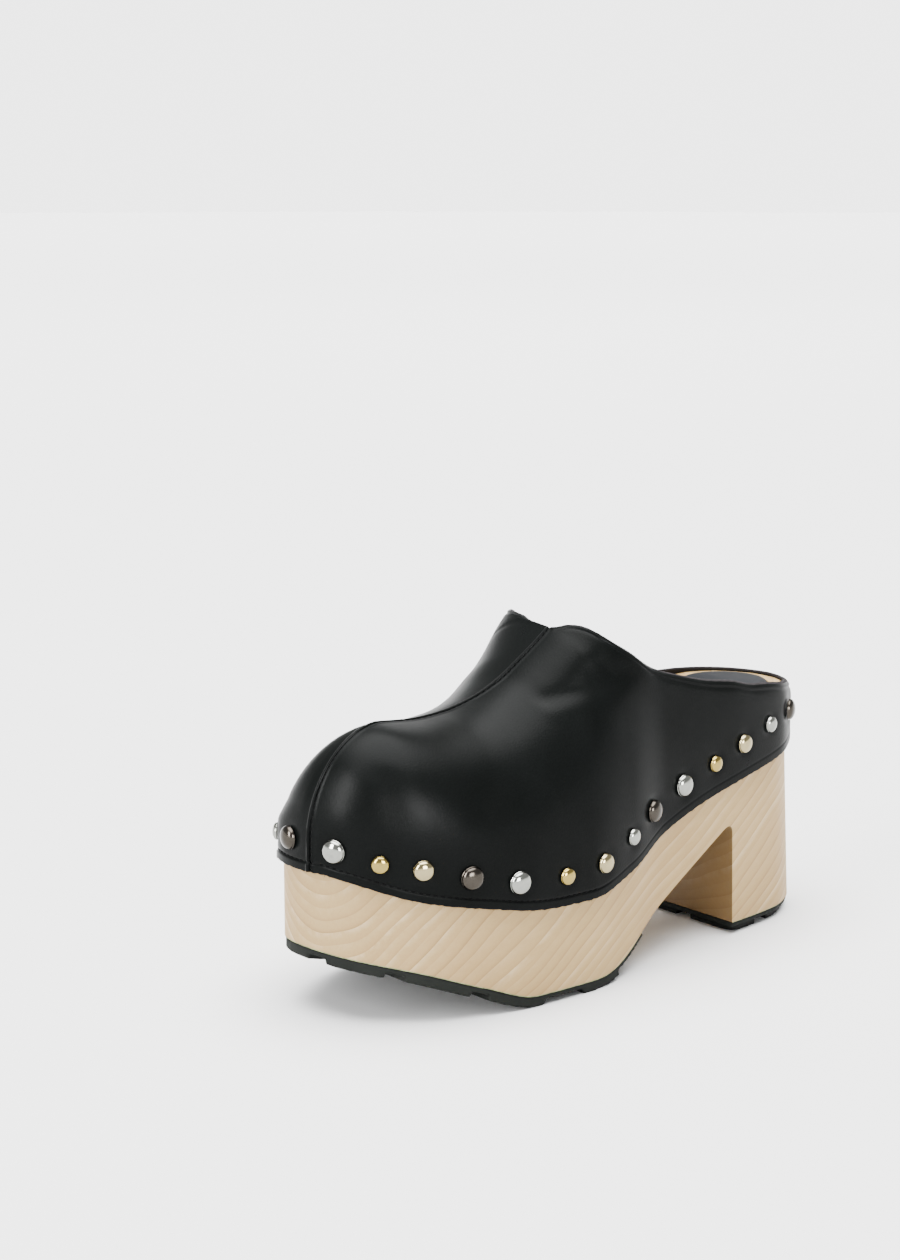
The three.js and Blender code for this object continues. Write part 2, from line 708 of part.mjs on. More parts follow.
// Column share after a distance along the band's outer face
function shareAlong(side, distance) {
  const steps = 1500;
  let walked = 0;
  let from = edgePoint(side, 0, SEAT_GAP + LEATHER);
  for (let i = 1; i <= steps; i += 1) {
    const to = edgePoint(side, i / steps, SEAT_GAP + LEATHER);
    walked += Math.hypot(to.x - from.x, to.y - from.y);
    if (walked >= distance) return i / steps;
    from = to;
  }
  return 1;
}

function makeStuds(side, rows) {
  let walked = 0;
  return rows.map((row, i) => {
    const kind = STUD_KINDS[row.kind];
    walked += row.step;
    const u = shareAlong(side, walked);
    const seat = edgePoint(side, u, 0);
    const z = hem(seat.at) + row.rise;
    const reach = z > bed(seat.at) ? (Math.asin((z - bed(seat.at)) / crownRise(seat.at)) * 2) / Math.PI : 0;
    const skin = archPoint(side, u, reach);
    const above = archPoint(side, u, reach + 0.02).sub(skin).normalize();
    const upright = reach > 0 ? above : new THREE.Vector3(0, 0, 1);
    const round = new THREE.Vector3(-seat.normal.y, seat.normal.x, 0);
    const outward = round.clone().cross(upright).normalize();
    const mesh = piece(
      `stud_${side === OUTER ? "outer" : "inner"}_${String(i + 1).padStart(2, "0")}_${row.kind}`,
      studGeometry(kind.size),
      { color: kind.color, roughness: 0.22, metalness: 1 },
    );
    mesh.position.set(skin.x, skin.y, z).addScaledVector(outward, SEAT_GAP);
    mesh.quaternion.setFromUnitVectors(new THREE.Vector3(0, 1, 0), outward);
    return mesh;
  });
}

const crownRise = (at) => crownHeight(crownStation(at)) - bed(at);

function piece(name, geometry, finish) {
  const mesh = new THREE.Mesh(geometry, new THREE.MeshStandardMaterial(finish));
  mesh.name = name;
  return mesh;
}

const clog = new THREE.Group();
clog.add(
  piece("wooden_sole", makeWoodenSole(), WOOD),
  piece("forefoot_tread", makeForefootTread(), RUBBER),
  piece("heel_tread", makeHeelTread(), RUBBER),
  piece("insole", makeInsole(), PAD),
  piece("upper", makeUpper(), BLACK_LEATHER),
  ...makeStuds(OUTER, OUTER_STUDS),
  ...makeStuds(INNER, INNER_STUDS),
);

// The origin is the middle of the clog's box, on the floor
const box = new THREE.Box3().setFromObject(clog);
const middle = box.getCenter(new THREE.Vector3());
clog.position.set(-middle.x, -middle.y, -box.min.z);
const part = new THREE.Group();
part.add(clog);

export default part;
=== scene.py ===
# %% [markdown]
# # A wooden clog with a black leather upper
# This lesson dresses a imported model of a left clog. The frame holds the maker's pieces as plain
# solids, and each cell below makes one piece as the real one looks: leather with a sewn ridge and soft
# creases, a block of pale wood with growth lines, moulded rubber, a padded insole and domed nails.
# Everything stays where the frame says, because the frame is what other tools hold and measure.

# %% Load the frame
import math
from collections import namedtuple

import bmesh
import bpy
import numpy as np
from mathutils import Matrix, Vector


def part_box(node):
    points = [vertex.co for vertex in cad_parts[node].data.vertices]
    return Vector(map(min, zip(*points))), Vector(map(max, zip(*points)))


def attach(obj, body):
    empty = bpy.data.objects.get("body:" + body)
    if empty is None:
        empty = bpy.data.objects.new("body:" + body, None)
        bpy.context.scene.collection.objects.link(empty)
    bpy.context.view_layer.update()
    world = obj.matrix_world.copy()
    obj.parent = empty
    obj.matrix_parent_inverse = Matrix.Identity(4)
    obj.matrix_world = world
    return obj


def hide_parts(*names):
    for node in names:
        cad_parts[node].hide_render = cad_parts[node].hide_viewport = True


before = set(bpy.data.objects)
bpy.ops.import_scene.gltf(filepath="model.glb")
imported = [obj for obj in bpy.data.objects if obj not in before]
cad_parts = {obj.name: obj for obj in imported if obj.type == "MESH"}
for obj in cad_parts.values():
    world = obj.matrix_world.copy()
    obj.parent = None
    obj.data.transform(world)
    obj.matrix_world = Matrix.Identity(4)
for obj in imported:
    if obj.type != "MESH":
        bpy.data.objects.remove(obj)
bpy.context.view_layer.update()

print("frame:", len(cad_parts), "nodes")

# %% [markdown]
# ## The shoe's own sizes
# A last is described by a few sizes and by how its sections change from toe to heel. The same values
# build the solids of the frame, so they are given once more here, in millimetres and in shares of the
# sole's length. With them any point of the shoe can be worked out as finely as a surface needs.

# %% Sizes in millimetres
MM = 0.001
SOLE_LENGTH = 246
BALL_WIDTH = 88
HEEL_WIDTH = 60
BALL_HEIGHT = 55
HEEL_HEIGHT = 97.5
TOE_SPRING = 22.8
NOTCH_HEIGHT = 49.5
NOTCH_FILLET = 6
SHANK_BLEND = 9
HEEL_LEAN = 5.4
HEEL_BREAST_LEAN = 1
RIM_WIDTH = 7
POCKET_DEPTH = 2
PAD_RISE = 1.2
LEATHER = 2
TOE_BOX_HEIGHT = 109.4
INSTEP_HEIGHT = 136.5
BAND_DEPTH = 16
HEM_WIDTH = 3.2
SEAT_GAP = 0.3
TREAD = 4.7
HEEL_TREAD = 5.5

# %% Places in shares of the sole's length
HEEL_FRONT = 0.782
SHANK_START = 0.467
TREAD_END = 0.545
THROAT = 0.448
TOE_CROWN = 0.13
HEEL_CROWN = 0.88

# %% Sections from toe to heel
Plan = namedtuple("Plan", "at outer inner heel")
PLAN = [
    Plan(0, -0.098, 0.098, 0),
    Plan(0.02, 0.135, 0.278, 0),
    Plan(0.06, 0.268, 0.367, 0),
    Plan(0.12, 0.381, 0.449, 0),
    Plan(0.2, 0.463, 0.495, 0),
    Plan(0.3, 0.507, 0.497, 0),
    Plan(0.4, 0.516, 0.45, 0),
    Plan(0.5, 0.472, 0.386, 0),
    Plan(0.6, 0.482, 0.409, 0.55),
    Plan(0.7, 0.545, 0.49, 1),
    Plan(0.8, 0.513, 0.49, 1),
    Plan(0.9, 0.45, 0.445, 1),
    Plan(0.95, 0.345, 0.36, 1),
    Plan(0.985, 0.2, 0.215, 1),
    Plan(1, 0, 0, 1),
]
Side = namedtuple("Side", "at under toe climb band")
SIDE = [
    Side(0, 1, 0.62, 0, 0.7),
    Side(0.1, 0.714, 0.38, 0, 0.94),
    Side(0.2, 0.33, 0.19, 0, 0.99),
    Side(0.3, 0, 0.01, 0, 1),
    Side(0.34, 0, 0, 0, 1.02),
    Side(0.4, 0, 0, 0.012, 1.06),
    Side(0.5, 0, 0, 0.17, 1.13),
    Side(0.6, 0, 0, 0.42, 1.162),
    Side(0.7, 0, 0, 0.64, 1.273),
    Side(0.8, 0, 0, 0.875, 1.57),
    Side(0.9, 0, 0, 1.015, 1.66),
    Side(1, 0, 0, 1, 1.262),
]
Crown = namedtuple("Crown", "at height side")
CROWN = [
    Crown(0.13, 0, 0.001),
    Crown(0.2, -0.05, 0.008),
    Crown(0.25, -0.022, 0.012),
    Crown(0.3, 0.08, 0.022),
    Crown(0.35, 0.28, 0.042),
    Crown(0.4, 0.61, 0.066),
    Crown(0.45, 1, 0.088),
    Crown(0.5, 1.46, 0.09),
    Crown(0.6, 2.16, 0.065),
    Crown(0.7, 2.68, 0.034),
    Crown(0.88, 3.05, 0),
]
Sides = namedtuple("Sides", "at outer inner")
FULLNESS = [
    Sides(0, 2, 1.9),
    Sides(0.03, 2.05, 1.55),
    Sides(0.1, 2.15, 1.55),
    Sides(0.2, 2.1, 1.7),
    Sides(0.3, 2.1, 1.85),
    Sides(0.4, 2, 2.4),
    Sides(0.5, 2, 4),
    Sides(0.6, 2, 3),
    Sides(0.8, 2, 2),
    Sides(1, 2, 2),
]
COLLAR = [
    Sides(0.448, 1, 1),
    Sides(0.459, 0.986, 0.99),
    Sides(0.472, 0.947, 0.95),
    Sides(0.489, 0.868, 0.895),
    Sides(0.509, 0.783, 0.825),
    Sides(0.54, 0.673, 0.72),
    Sides(0.587, 0.513, 0.56),
    Sides(0.639, 0.397, 0.41),
    Sides(0.691, 0.305, 0.28),
    Sides(0.774, 0.186, 0.13),
    Sides(0.834, 0.1, 0.055),
    Sides(0.904, 0.04, 0.016),
    Sides(1, 0.01, 0.01),
]

# %% [markdown]
# ## Smooth curves through the sections
# A curve through a few sections must not swing past them, or the shoe gets waves. A cubic whose slope
# is held between its neighbours does that. The plan is followed by angle and not by length, so the
# toe and the heel come out round instead of pointed.

# %% Curves
def track(rows, value, position=lambda row: row.at):
    """Smooth curve through one column of a table that never overshoots its rows."""
    x = np.array([position(row) for row in rows], float)
    y = np.array([value(row) for row in rows], float)
    slope = np.diff(y) / np.diff(x)
    tangent = np.empty(len(x))
    tangent[0] = slope[0]
    tangent[-1] = slope[-1]
    before, after = slope[:-1], slope[1:]
    same = before * after > 0
    total = np.where(same, before + after, 1)
    tangent[1:-1] = np.where(same, 2 * before * after / total, 0)

    def curve(at):
        p = np.clip(np.asarray(at, float), x[0], x[-1])
        i = np.clip(np.searchsorted(x, p, side="right") - 1, 0, len(x) - 2)
        h = x[i + 1] - x[i]
        t = (p - x[i]) / h
        start = (1 + 2 * t) * (1 - t) ** 2 * y[i] + t * (1 - t) ** 2 * h * tangent[i]
        end = t * t * (3 - 2 * t) * y[i + 1] + t * t * (t - 1) * h * tangent[i + 1]
        return start + end

    return curve


def turn(at):
    return np.arccos(np.clip(1 - 2 * np.asarray(at, float), -1, 1)) / math.pi


def plan_size(row):
    return BALL_WIDTH + (HEEL_WIDTH - BALL_WIDTH) * row.heel


def top_edge(row):
    return BALL_HEIGHT + TOE_SPRING * row.toe + (HEEL_HEIGHT - BALL_HEIGHT) * row.climb


outer_half = track(PLAN, lambda row: row.outer * plan_size(row), lambda row: float(turn(row.at)))
inner_half = track(PLAN, lambda row: row.inner * plan_size(row), lambda row: float(turn(row.at)))
under = track(SIDE, lambda row: TREAD + TOE_SPRING * row.under)
bed = track(SIDE, top_edge)
hem = track(SIDE, lambda row: top_edge(row) - BAND_DEPTH * row.band)
crown_height = track(CROWN, lambda row: TOE_BOX_HEIGHT + (INSTEP_HEIGHT - TOE_BOX_HEIGHT) * row.height)
crown_side = track(CROWN, lambda row: row.side * BALL_WIDTH)
OUTER, INNER = 1, -1


def both_sides(rows):
    return {OUTER: track(rows, lambda row: row.outer), INNER: track(rows, lambda row: row.inner)}


fullness = both_sides(FULLNESS)
collar_share = both_sides(COLLAR)

# %% The outline of the sole
def along_sole(at):
    return SOLE_LENGTH * (np.asarray(at, float) - 0.5)


def share_of(y):
    return np.asarray(y, float) / SOLE_LENGTH + 0.5


def unit(vectors):
    """The same directions with a length of 1."""
    return vectors / np.linalg.norm(vectors, axis=-1, keepdims=True)


def plan_point(way):
    """Outline point: way 0 is the toe's tip, 1 the heel round the outer side, -1 round the inner."""
    way = (np.asarray(way, float) + 1) % 2 - 1
    angle = np.abs(way)
    x = np.where(way >= 0, outer_half(angle), -inner_half(angle))
    return np.stack([x, -SOLE_LENGTH / 2 * np.cos(math.pi * angle)], -1)


def edge_point(way, out):
    """The outline moved outwards, square to itself."""
    step = 1e-3
    along = unit(plan_point(np.asarray(way) + step) - plan_point(np.asarray(way) - step))
    return plan_point(way) + np.stack([along[..., 1], -along[..., 0]], -1) * out


def seam_way():
    """Where the seam meets the outline, on the outer side of the tip."""
    ways = np.linspace(0, 0.2, 4001)
    return float(np.interp(crown_side(TOE_CROWN), outer_half(ways), ways))


SEAM_WAY = seam_way()
print("seam meets the outline", round(SOLE_LENGTH * SEAM_WAY, 1), "mm from the tip")

# %% Underside and heel
SHANK_SLOPE = (NOTCH_HEIGHT - TREAD) / (SOLE_LENGTH * (HEEL_FRONT - SHANK_START))


def underside(at):
    run = along_sole(at) - along_sole(SHANK_START)
    bend = np.clip(run + SHANK_BLEND, 0, 2 * SHANK_BLEND)
    return under(at) + SHANK_SLOPE * (bend**2 / (4 * SHANK_BLEND) + np.maximum(run - SHANK_BLEND, 0))


def heel_lean(at, z):
    """How far the heel's back runs out behind at a height."""
    share = np.clip((at - HEEL_FRONT) / (1 - HEEL_FRONT), 0, 1)
    down = np.clip(1 - (z + HEEL_TREAD) / (hem(at) - HEM_WIDTH + HEEL_TREAD), 0, 1)
    return HEEL_LEAN * share * down


# %% Where the shoe's own axes lie in the frame
sole_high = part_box("wooden_sole")[1]
SHIFT = np.array(
    [
        sole_high.x / MM - outer_half(np.linspace(0, 1, 801)).max(),
        sole_high.y / MM - SOLE_LENGTH / 2 - float(heel_lean(1, HEEL_TREAD)),
        0,
    ]
)
print("shoe's axes lie at", SHIFT.round(2), "mm in the frame")

# %% [markdown]
# ## Making a mesh from points
# Every surface here is a grid of points, because a grid follows a curved shoe with few tricks: its
# rows and columns can stand close together at an edge or a seam and far apart on a plain stretch.

# %% Mesh helpers
def shade_smooth(mesh):
    mesh.polygons.foreach_set("use_smooth", np.ones(len(mesh.polygons), bool))


def new_piece(name, points, faces, material_of=None):
    """An object from points in the shoe's millimetres and faces of vertex numbers."""
    mesh = bpy.data.meshes.new(name)
    mesh.from_pydata(((np.asarray(points, float) + SHIFT) * MM).tolist(), [], faces)
    mesh.validate()
    if material_of is not None:
        mesh.polygons.foreach_set("material_index", np.asarray(material_of, np.int32))
    shade_smooth(mesh)
    mesh.update()
    piece = bpy.data.objects.new(name, mesh)
    bpy.context.scene.collection.objects.link(piece)
    return piece


def grid_faces(ids):
    """Quads of a grid of vertex numbers, without the corners that have run together."""
    a, b, c, d = ids[:-1, :-1], ids[1:, :-1], ids[1:, 1:], ids[:-1, 1:]
    quads = np.stack([a, b, c, d], -1).reshape(-1, 4).tolist()
    kept = []
    for quad in quads:
        face = [v for i, v in enumerate(quad) if v != quad[i - 1]]
        if len(set(face)) > 2:
            kept.append(face)
    return kept


class Net:
    """Grids of points gathered for one mesh, and faces that name the points by number."""

    def __init__(self):
        self.points = []
        self.faces = []

    def add(self, grid):
        """Keeps a grid of points and gives back their numbers."""
        first = sum(map(len, self.points))
        self.points.append(grid.reshape(-1, 3))
        return first + np.arange(len(self.points[-1])).reshape(grid.shape[:-1])

    def piece(self, name, material):
        made = new_piece(name, np.concatenate(self.points), self.faces)
        made.data.materials.append(material)
        return made


def strip_faces(left, right):
    """Quads between two lines of vertex numbers."""
    return grid_faces(np.column_stack([left, right]))


def normals_of(points, faces):
    """Smooth normals at the points of a mesh of quads and triangles."""
    total = np.zeros((len(points), 3))
    for corners in (3, 4):
        rings = np.array([face for face in faces if len(face) == corners], int).reshape(-1, corners)
        across = points[rings[:, 2]] - points[rings[:, 0]]
        other = points[rings[:, -1]] - points[rings[:, 1]]
        normal = np.cross(across, other)
        for corner in range(corners):
            np.add.at(total, rings[:, corner], normal)
    return total / np.maximum(np.linalg.norm(total, axis=1, keepdims=True), 1e-12)


def finish_piece(piece, slot, *nodes):
    """The piece rides on the shoe and stands for its nodes; slot is not used."""
    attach(piece, "root")
    if nodes:
        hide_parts(*nodes)
    size = [round(v / MM, 1) for v in piece.dimensions]
    print(piece.name, len(piece.data.polygons), "faces,", size, "mm")


# %% Cleaning and bevelling a mesh
DOUBLES_WITHIN = 2e-6
BEVEL_SEGMENTS = 2
BEVEL_FROM = math.radians(35)
SHARP_FROM = math.radians(45)


def tidy_mesh(piece):
    """Drops loose points, joins doubles and turns every face outwards."""
    mesh = bmesh.new()
    mesh.from_mesh(piece.data)
    bmesh.ops.remove_doubles(mesh, verts=mesh.verts, dist=DOUBLES_WITHIN)
    bmesh.ops.delete(mesh, geom=[v for v in mesh.verts if not v.link_faces], context="VERTS")
    bmesh.ops.recalc_face_normals(mesh, faces=mesh.faces)
    mesh.to_mesh(piece.data)
    mesh.free()
    open_edges = sum(1 for e in edge_use(piece).values() if e != 2)
    print(piece.name, "open edges:", open_edges)


def edge_use(piece):
    """How many faces share each edge."""
    use = {}
    for face in piece.data.polygons:
        for key in face.edge_keys:
            use[key] = use.get(key, 0) + 1
    return use


def apply_modifiers(piece):
    """The piece keeps the shape that its modifiers give."""
    bpy.context.view_layer.update()
    made = bpy.data.meshes.new_from_object(piece.evaluated_get(bpy.context.evaluated_depsgraph_get()))
    old = piece.data
    piece.modifiers.clear()
    piece.data = made
    made.name = piece.name
    bpy.data.meshes.remove(old)


def break_edges(piece, width):
    """A narrow rounded bevel along sharp edges, applied to the mesh."""
    bevel = piece.modifiers.new("edge", "BEVEL")
    bevel.width = width * MM
    bevel.segments = BEVEL_SEGMENTS
    bevel.limit_method = "ANGLE"
    bevel.angle_limit = BEVEL_FROM
    apply_modifiers(piece)
    shade_smooth(piece.data)
    piece.data.set_sharp_from_angle(angle=SHARP_FROM)


# %% [markdown]
# ## Finishes
# A finish is more than a colour. Leather has a fine grain that breaks up its shine, wood has growth
# lines that run through the whole block, and metal shows small scratches. All of them are made from
# noise in the shoe's own space, so that a pattern is continuous round a corner and needs no picture.

# %% Material helpers
class Finish:
    """A material with a few short calls to add nodes and join them."""

    def __init__(self, name, color, roughness, metallic=0.0):
        self.material = bpy.data.materials.new(name)
        self.material.use_nodes = True
        self.nodes = self.material.node_tree.nodes
        self.links = self.material.node_tree.links
        self.surface = self.nodes["Principled BSDF"]
        self.set("Base Color", (*color, 1))
        self.set("Roughness", roughness)
        self.set("Metallic", metallic)
        self.place = self.nodes.new("ShaderNodeTexCoord").outputs["Object"]

    def set(self, socket, value):
        self.surface.inputs[socket].default_value = value

    def join(self, value, socket):
        self.links.new(value, self.surface.inputs[socket])

    def add(self, kind, inputs=None, **settings):
        node = self.nodes.new("ShaderNode" + kind)
        for key, value in settings.items():
            setattr(node, key, value)
        for key, value in (inputs or {}).items():
            if isinstance(value, bpy.types.NodeSocket):
                self.links.new(value, node.inputs[key])
            else:
                node.inputs[key].default_value = value
        return node

    def moved(self, scale=(1, 1, 1), turn=(0, 0, 0), by=(0, 0, 0), of=None):
        """The place in the shoe's space, turned and stretched."""
        sockets = {"Vector": of or self.place, "Scale": scale, "Rotation": turn, "Location": by}
        return self.add("Mapping", sockets).outputs["Vector"]

    def noise(self, scale, detail=3.0, rough=0.5, of=None):
        sockets = {"Vector": of or self.place, "Scale": scale, "Detail": detail, "Roughness": rough}
        return self.add("TexNoise", sockets).outputs["Fac"]

    def cells(self, scale, of=None, smooth=0.35):
        sockets = {"Vector": of or self.place, "Scale": scale, "Smoothness": smooth}
        return self.add("TexVoronoi", sockets, feature="SMOOTH_F1").outputs["Distance"]

    def math(self, kind, a, b=0.0, c=0.0):
        return self.add("Math", {0: a, 1: b, 2: c}, operation=kind).outputs["Value"]

    def spread(self, value, low, high, to_low=0.0, to_high=1.0):
        sockets = {"Value": value, "From Min": low, "From Max": high, "To Min": to_low, "To Max": to_high}
        return self.add("MapRange", sockets).outputs["Result"]

    def mix(self, share, first, second):
        node = self.add("Mix", {"Factor": share}, data_type="RGBA")
        for socket, value in ((6, first), (7, second)):
            if isinstance(value, bpy.types.NodeSocket):
                self.links.new(value, node.inputs[socket])
            else:
                node.inputs[socket].default_value = (*value, 1)
        return node.outputs[2]

    def mask(self, name):
        return self.add("Attribute", attribute_name=name).outputs["Fac"]

    def bump(self, height, depth, strength=1.0, under=None):
        sockets = {"Height": height, "Distance": depth, "Strength": strength}
        if under is not None:
            sockets["Normal"] = under
        return self.add("Bump", sockets).outputs["Normal"]


# %% [markdown]
# ## Black leather
# The upper is smooth black cowhide with a soft, low shine. Up close it has fine pores and a faint
# unevenness that spreads the highlights on the toe. The grain is fine cells, the pull of the leather
# is wide noise, and the dye is a touch lighter where the skin is rubbed.

# %% Leather finishes
def leather_finish():
    made = Finish("black_leather", (0.0035, 0.004, 0.004), 0.38)
    grain = made.cells(1500)
    pores = made.noise(5200, 2.0)
    wide = made.noise(26, 3.0)
    cloudy = made.noise(90, 4.0)
    tone = made.spread(wide, 0.3, 0.7)
    made.join(made.mix(tone, (0.0018, 0.0022, 0.0020), (0.0029, 0.0034, 0.0033)), "Base Color")
    made.join(made.spread(cloudy, 0.25, 0.75, 0.27, 0.34), "Roughness")
    made.set("Specular IOR Level", 0.031)
    fine = made.bump(grain, 0.00006, 0.45)
    finer = made.bump(pores, 0.00003, 0.3, fine)
    made.join(made.bump(wide, 0.0009, 0.15, finer), "Normal")
    return made.material


def lining_finish():
    made = Finish("leather_lining", (0.016, 0.016, 0.017), 0.75)
    nap = made.noise(3000, 3.0)
    tone = made.noise(60, 3.0)
    dye = made.mix(made.spread(tone, 0.3, 0.7), (0.005, 0.005, 0.006), (0.009, 0.009, 0.010))
    made.join(dye, "Base Color")
    made.set("Specular IOR Level", 0.15)
    made.join(made.bump(nap, 0.0001, 0.5), "Normal")
    return made.material


def cut_edge_finish():
    made = Finish("leather_cut_edge", (0.02, 0.018, 0.018), 0.85)
    fibre = made.noise(1400, 4.0, 0.7)
    tone = made.spread(fibre, 0.35, 0.7)
    made.join(made.mix(tone, (0.004, 0.0036, 0.0038), (0.022, 0.018, 0.02)), "Base Color")
    made.set("Specular IOR Level", 0.15)
    made.join(made.bump(fibre, 0.0003, 0.7), "Normal")
    return made.material


LEATHER_SKIN = leather_finish()
LINING = lining_finish()
CUT_EDGE = cut_edge_finish()
print("leather finishes ready")

# %% [markdown]
# ## Pale wood
# The sole is one block of light wood, sawn so that its growth lines climb from the toe to the heel and
# show as nested arcs round the toe. Rings round a tilted axis give both at once: where the surface runs
# along the axis they are long lines, where it crosses the axis they are arcs. Inside the notch a mask
# on the faces mixes in a darker, warmer brown: painted shade, where the notch lies in shadow.

# %% Wood finish
GRAIN_TILT = math.radians(23)
GRAIN_SWING = math.radians(20)
PITH = (-0.004, -0.12, 0.098)
RING_WIDTH = 0.0043


def wood_finish():
    made = Finish("pale_wood", (0.66, 0.53, 0.38), 0.5)
    from_pith = made.add("VectorMath", {0: made.place, 1: PITH}, operation="SUBTRACT").outputs["Vector"]
    log = made.moved(turn=(-GRAIN_TILT, 0, 0), of=made.moved(turn=(0, 0, -GRAIN_SWING), of=from_pith))
    parts = made.add("SeparateXYZ", {"Vector": log}).outputs
    sway = made.noise(14, 2.0, of=made.moved((1, 0.5, 1), of=log))
    across = made.math("MULTIPLY", parts["X"], parts["X"])
    radius = made.math("SQRT", made.math("MULTIPLY_ADD", parts["Z"], parts["Z"], across))
    bent = made.math("MULTIPLY_ADD", made.math("SUBTRACT", sway, 0.5), 0.022, radius)
    turns = made.math("DIVIDE", bent, RING_WIDTH)
    ring = made.math("FRACT", turns)
    late = made.math("POWER", ring, 5.0)
    early = made.spread(ring, 0.0, 0.6, 1.0, 0.0)
    number = made.math("FLOOR", turns)
    shade = made.add("TexWhiteNoise", {"W": number}, noise_dimensions="1D").outputs["Value"]
    streak = made.noise(210, 3.0, 0.6, of=made.moved((1, 0.06, 1), of=log))
    fibre = made.noise(900, 4.0, 0.6, of=made.moved((1, 0.03, 1), of=log))
    cloud = made.noise(20, 3.0)
    base = made.mix(made.spread(cloud, 0.3, 0.7), (0.315, 0.203, 0.082), (0.365, 0.247, 0.106))
    pale = made.math("MULTIPLY", early, made.spread(shade, 0.25, 1.0, 0.1, 0.68))
    pale = made.math("MULTIPLY", pale, made.spread(streak, 0.3, 0.6))
    light = made.mix(pale, base, (0.55, 0.435, 0.265))
    dark = made.math("MULTIPLY", late, made.spread(shade, 0.0, 0.7, 0.6, 0.15))
    lined = made.mix(dark, light, (0.17, 0.09, 0.03))
    plain = made.mix(made.spread(fibre, 0.35, 0.75, 0.0, 0.14), lined, (0.18, 0.11, 0.04))
    # Painted shade: the faces marked inside the notch get a darker, warmer brown, where the notch lies in
    # shadow
    painted_shade = made.mix(made.math("MULTIPLY", made.mask("notch"), 0.82), plain, (0.092, 0.05, 0.018))
    made.join(painted_shade, "Base Color")
    made.set("Specular IOR Level", 0.2)
    made.join(made.spread(fibre, 0.3, 0.7, 0.46, 0.58), "Roughness")
    made.join(made.bump(fibre, 0.00012, 0.35, made.bump(late, 0.00008, 0.3)), "Normal")
    return made.material


PALE_WOOD = wood_finish()

# %% [markdown]
# ## Rubber, insole and metal
# The treads are dull black rubber with a green cast and a matt skin from the mould. The insole is a
# thin blue-grey leather over foam. The nails are plated: silver, gold, pale gold and a dark gunmetal,
# all polished, with a few hair scratches that soften what they mirror.

# %% Rubber, insole and metal finishes
def rubber_finish():
    made = Finish("tread_rubber", (0.02, 0.024, 0.02), 0.7)
    dust = made.noise(70, 4.0)
    skin = made.noise(2400, 3.0)
    black = made.mix(made.spread(dust, 0.35, 0.75), (0.005, 0.0062, 0.005), (0.0105, 0.012, 0.0103))
    made.join(black, "Base Color")
    made.set("Specular IOR Level", 0.08)
    made.join(made.spread(dust, 0.3, 0.7, 0.62, 0.78), "Roughness")
    made.join(made.bump(skin, 0.00008, 0.4), "Normal")
    return made.material


def glue_finish():
    made = Finish("glue_line", (0.36, 0.42, 0.25), 0.6)
    patch = made.noise(500, 3.0)
    smear = made.mix(made.spread(patch, 0.4, 0.6), (0.10, 0.125, 0.05), (0.22, 0.26, 0.12))
    made.join(smear, "Base Color")
    return made.material


def insole_finish():
    made = Finish("insole_leather", (0.045, 0.05, 0.06), 0.62)
    grain = made.cells(1300)
    wear = made.noise(35, 3.0)
    worn = made.mix(made.spread(wear, 0.3, 0.7), (0.006, 0.0066, 0.008), (0.011, 0.012, 0.014))
    made.join(worn, "Base Color")
    made.set("Specular IOR Level", 0.05)
    made.join(made.spread(wear, 0.3, 0.7, 0.55, 0.68), "Roughness")
    made.join(made.bump(grain, 0.00008, 0.4), "Normal")
    return made.material


def metal_finish(name, color, roughness):
    made = Finish(name, color, roughness, 1.0)
    patch = made.noise(420, 4.0)
    scratch = made.noise(900, 3.0, of=made.moved((1, 0.12, 0.5), turn=(0.4, 0.3, 0.8)))
    darker = tuple(0.8 * c for c in color)
    made.join(made.mix(made.spread(patch, 0.45, 0.75), color, darker), "Base Color")
    made.join(made.spread(patch, 0.35, 0.75, roughness, roughness + 0.07), "Roughness")
    made.join(made.bump(scratch, 0.00002, 0.25), "Normal")
    return made.material


RUBBER = rubber_finish()
GLUE = glue_finish()
INSOLE_LEATHER = insole_finish()
Nail = namedtuple("Nail", "slot material")
NAILS = {
    "silver": Nail("silver_metal", metal_finish("silver_metal", (0.24, 0.246, 0.225), 0.09)),
    "gold": Nail("gold_metal", metal_finish("gold_metal", (0.27, 0.203, 0.06), 0.1)),
    "pale": Nail("pale_gold_metal", metal_finish("pale_gold_metal", (0.295, 0.25, 0.138), 0.1)),
    "gunmetal": Nail("gunmetal", metal_finish("gunmetal", (0.042, 0.037, 0.031), 0.16)),
}
print(len(NAILS), "metals ready")

# %% [markdown]
# ## The leather's surface
# The vamp is one sheet lasted over a form: a band that lies upright on the wood's side, then an arch
# that leans in to the crown line. Each column of the grid is such a section. The columns end on the
# sewn ridge in front and on the collar behind, and rows and columns crowd together there.

# %% One section of the leather
CROWN_SOFTNESS = 0.04


def crown_station(at):
    """Share of the length at which a section that starts at a share meets the crown."""
    forward = np.cbrt(np.clip(at, 0, 1) ** 3 + TOE_CROWN**3)
    heel = math.exp(-HEEL_CROWN / CROWN_SOFTNESS)
    return -CROWN_SOFTNESS * np.log(np.exp(-forward / CROWN_SOFTNESS) + heel)


def arch_point(way, reach, side):
    """Outer face of the leather: reach 0 is the top of the band, 1 the crown."""
    base, at = leather_base(way)
    crown = crown_station(at)
    power = 2 / fullness[side](at)
    angle = np.asarray(reach) * math.pi / 2
    inward = 1 - np.maximum(np.cos(angle), 0) ** power
    upward = np.sin(angle) ** power
    x = base[..., 0] + (crown_side(crown) - base[..., 0]) * inward
    y = base[..., 1] + (along_sole(crown) - base[..., 1]) * inward
    z = bed(at) + (crown_height(crown) - bed(at)) * upward
    return np.stack([x, y, z], -1)


def leather_base(way):
    """Foot of a column: its plan point and share of the length, on the leather's outer face."""
    base = edge_point(way, SEAT_GAP + LEATHER)
    return base, share_of(base[..., 1])


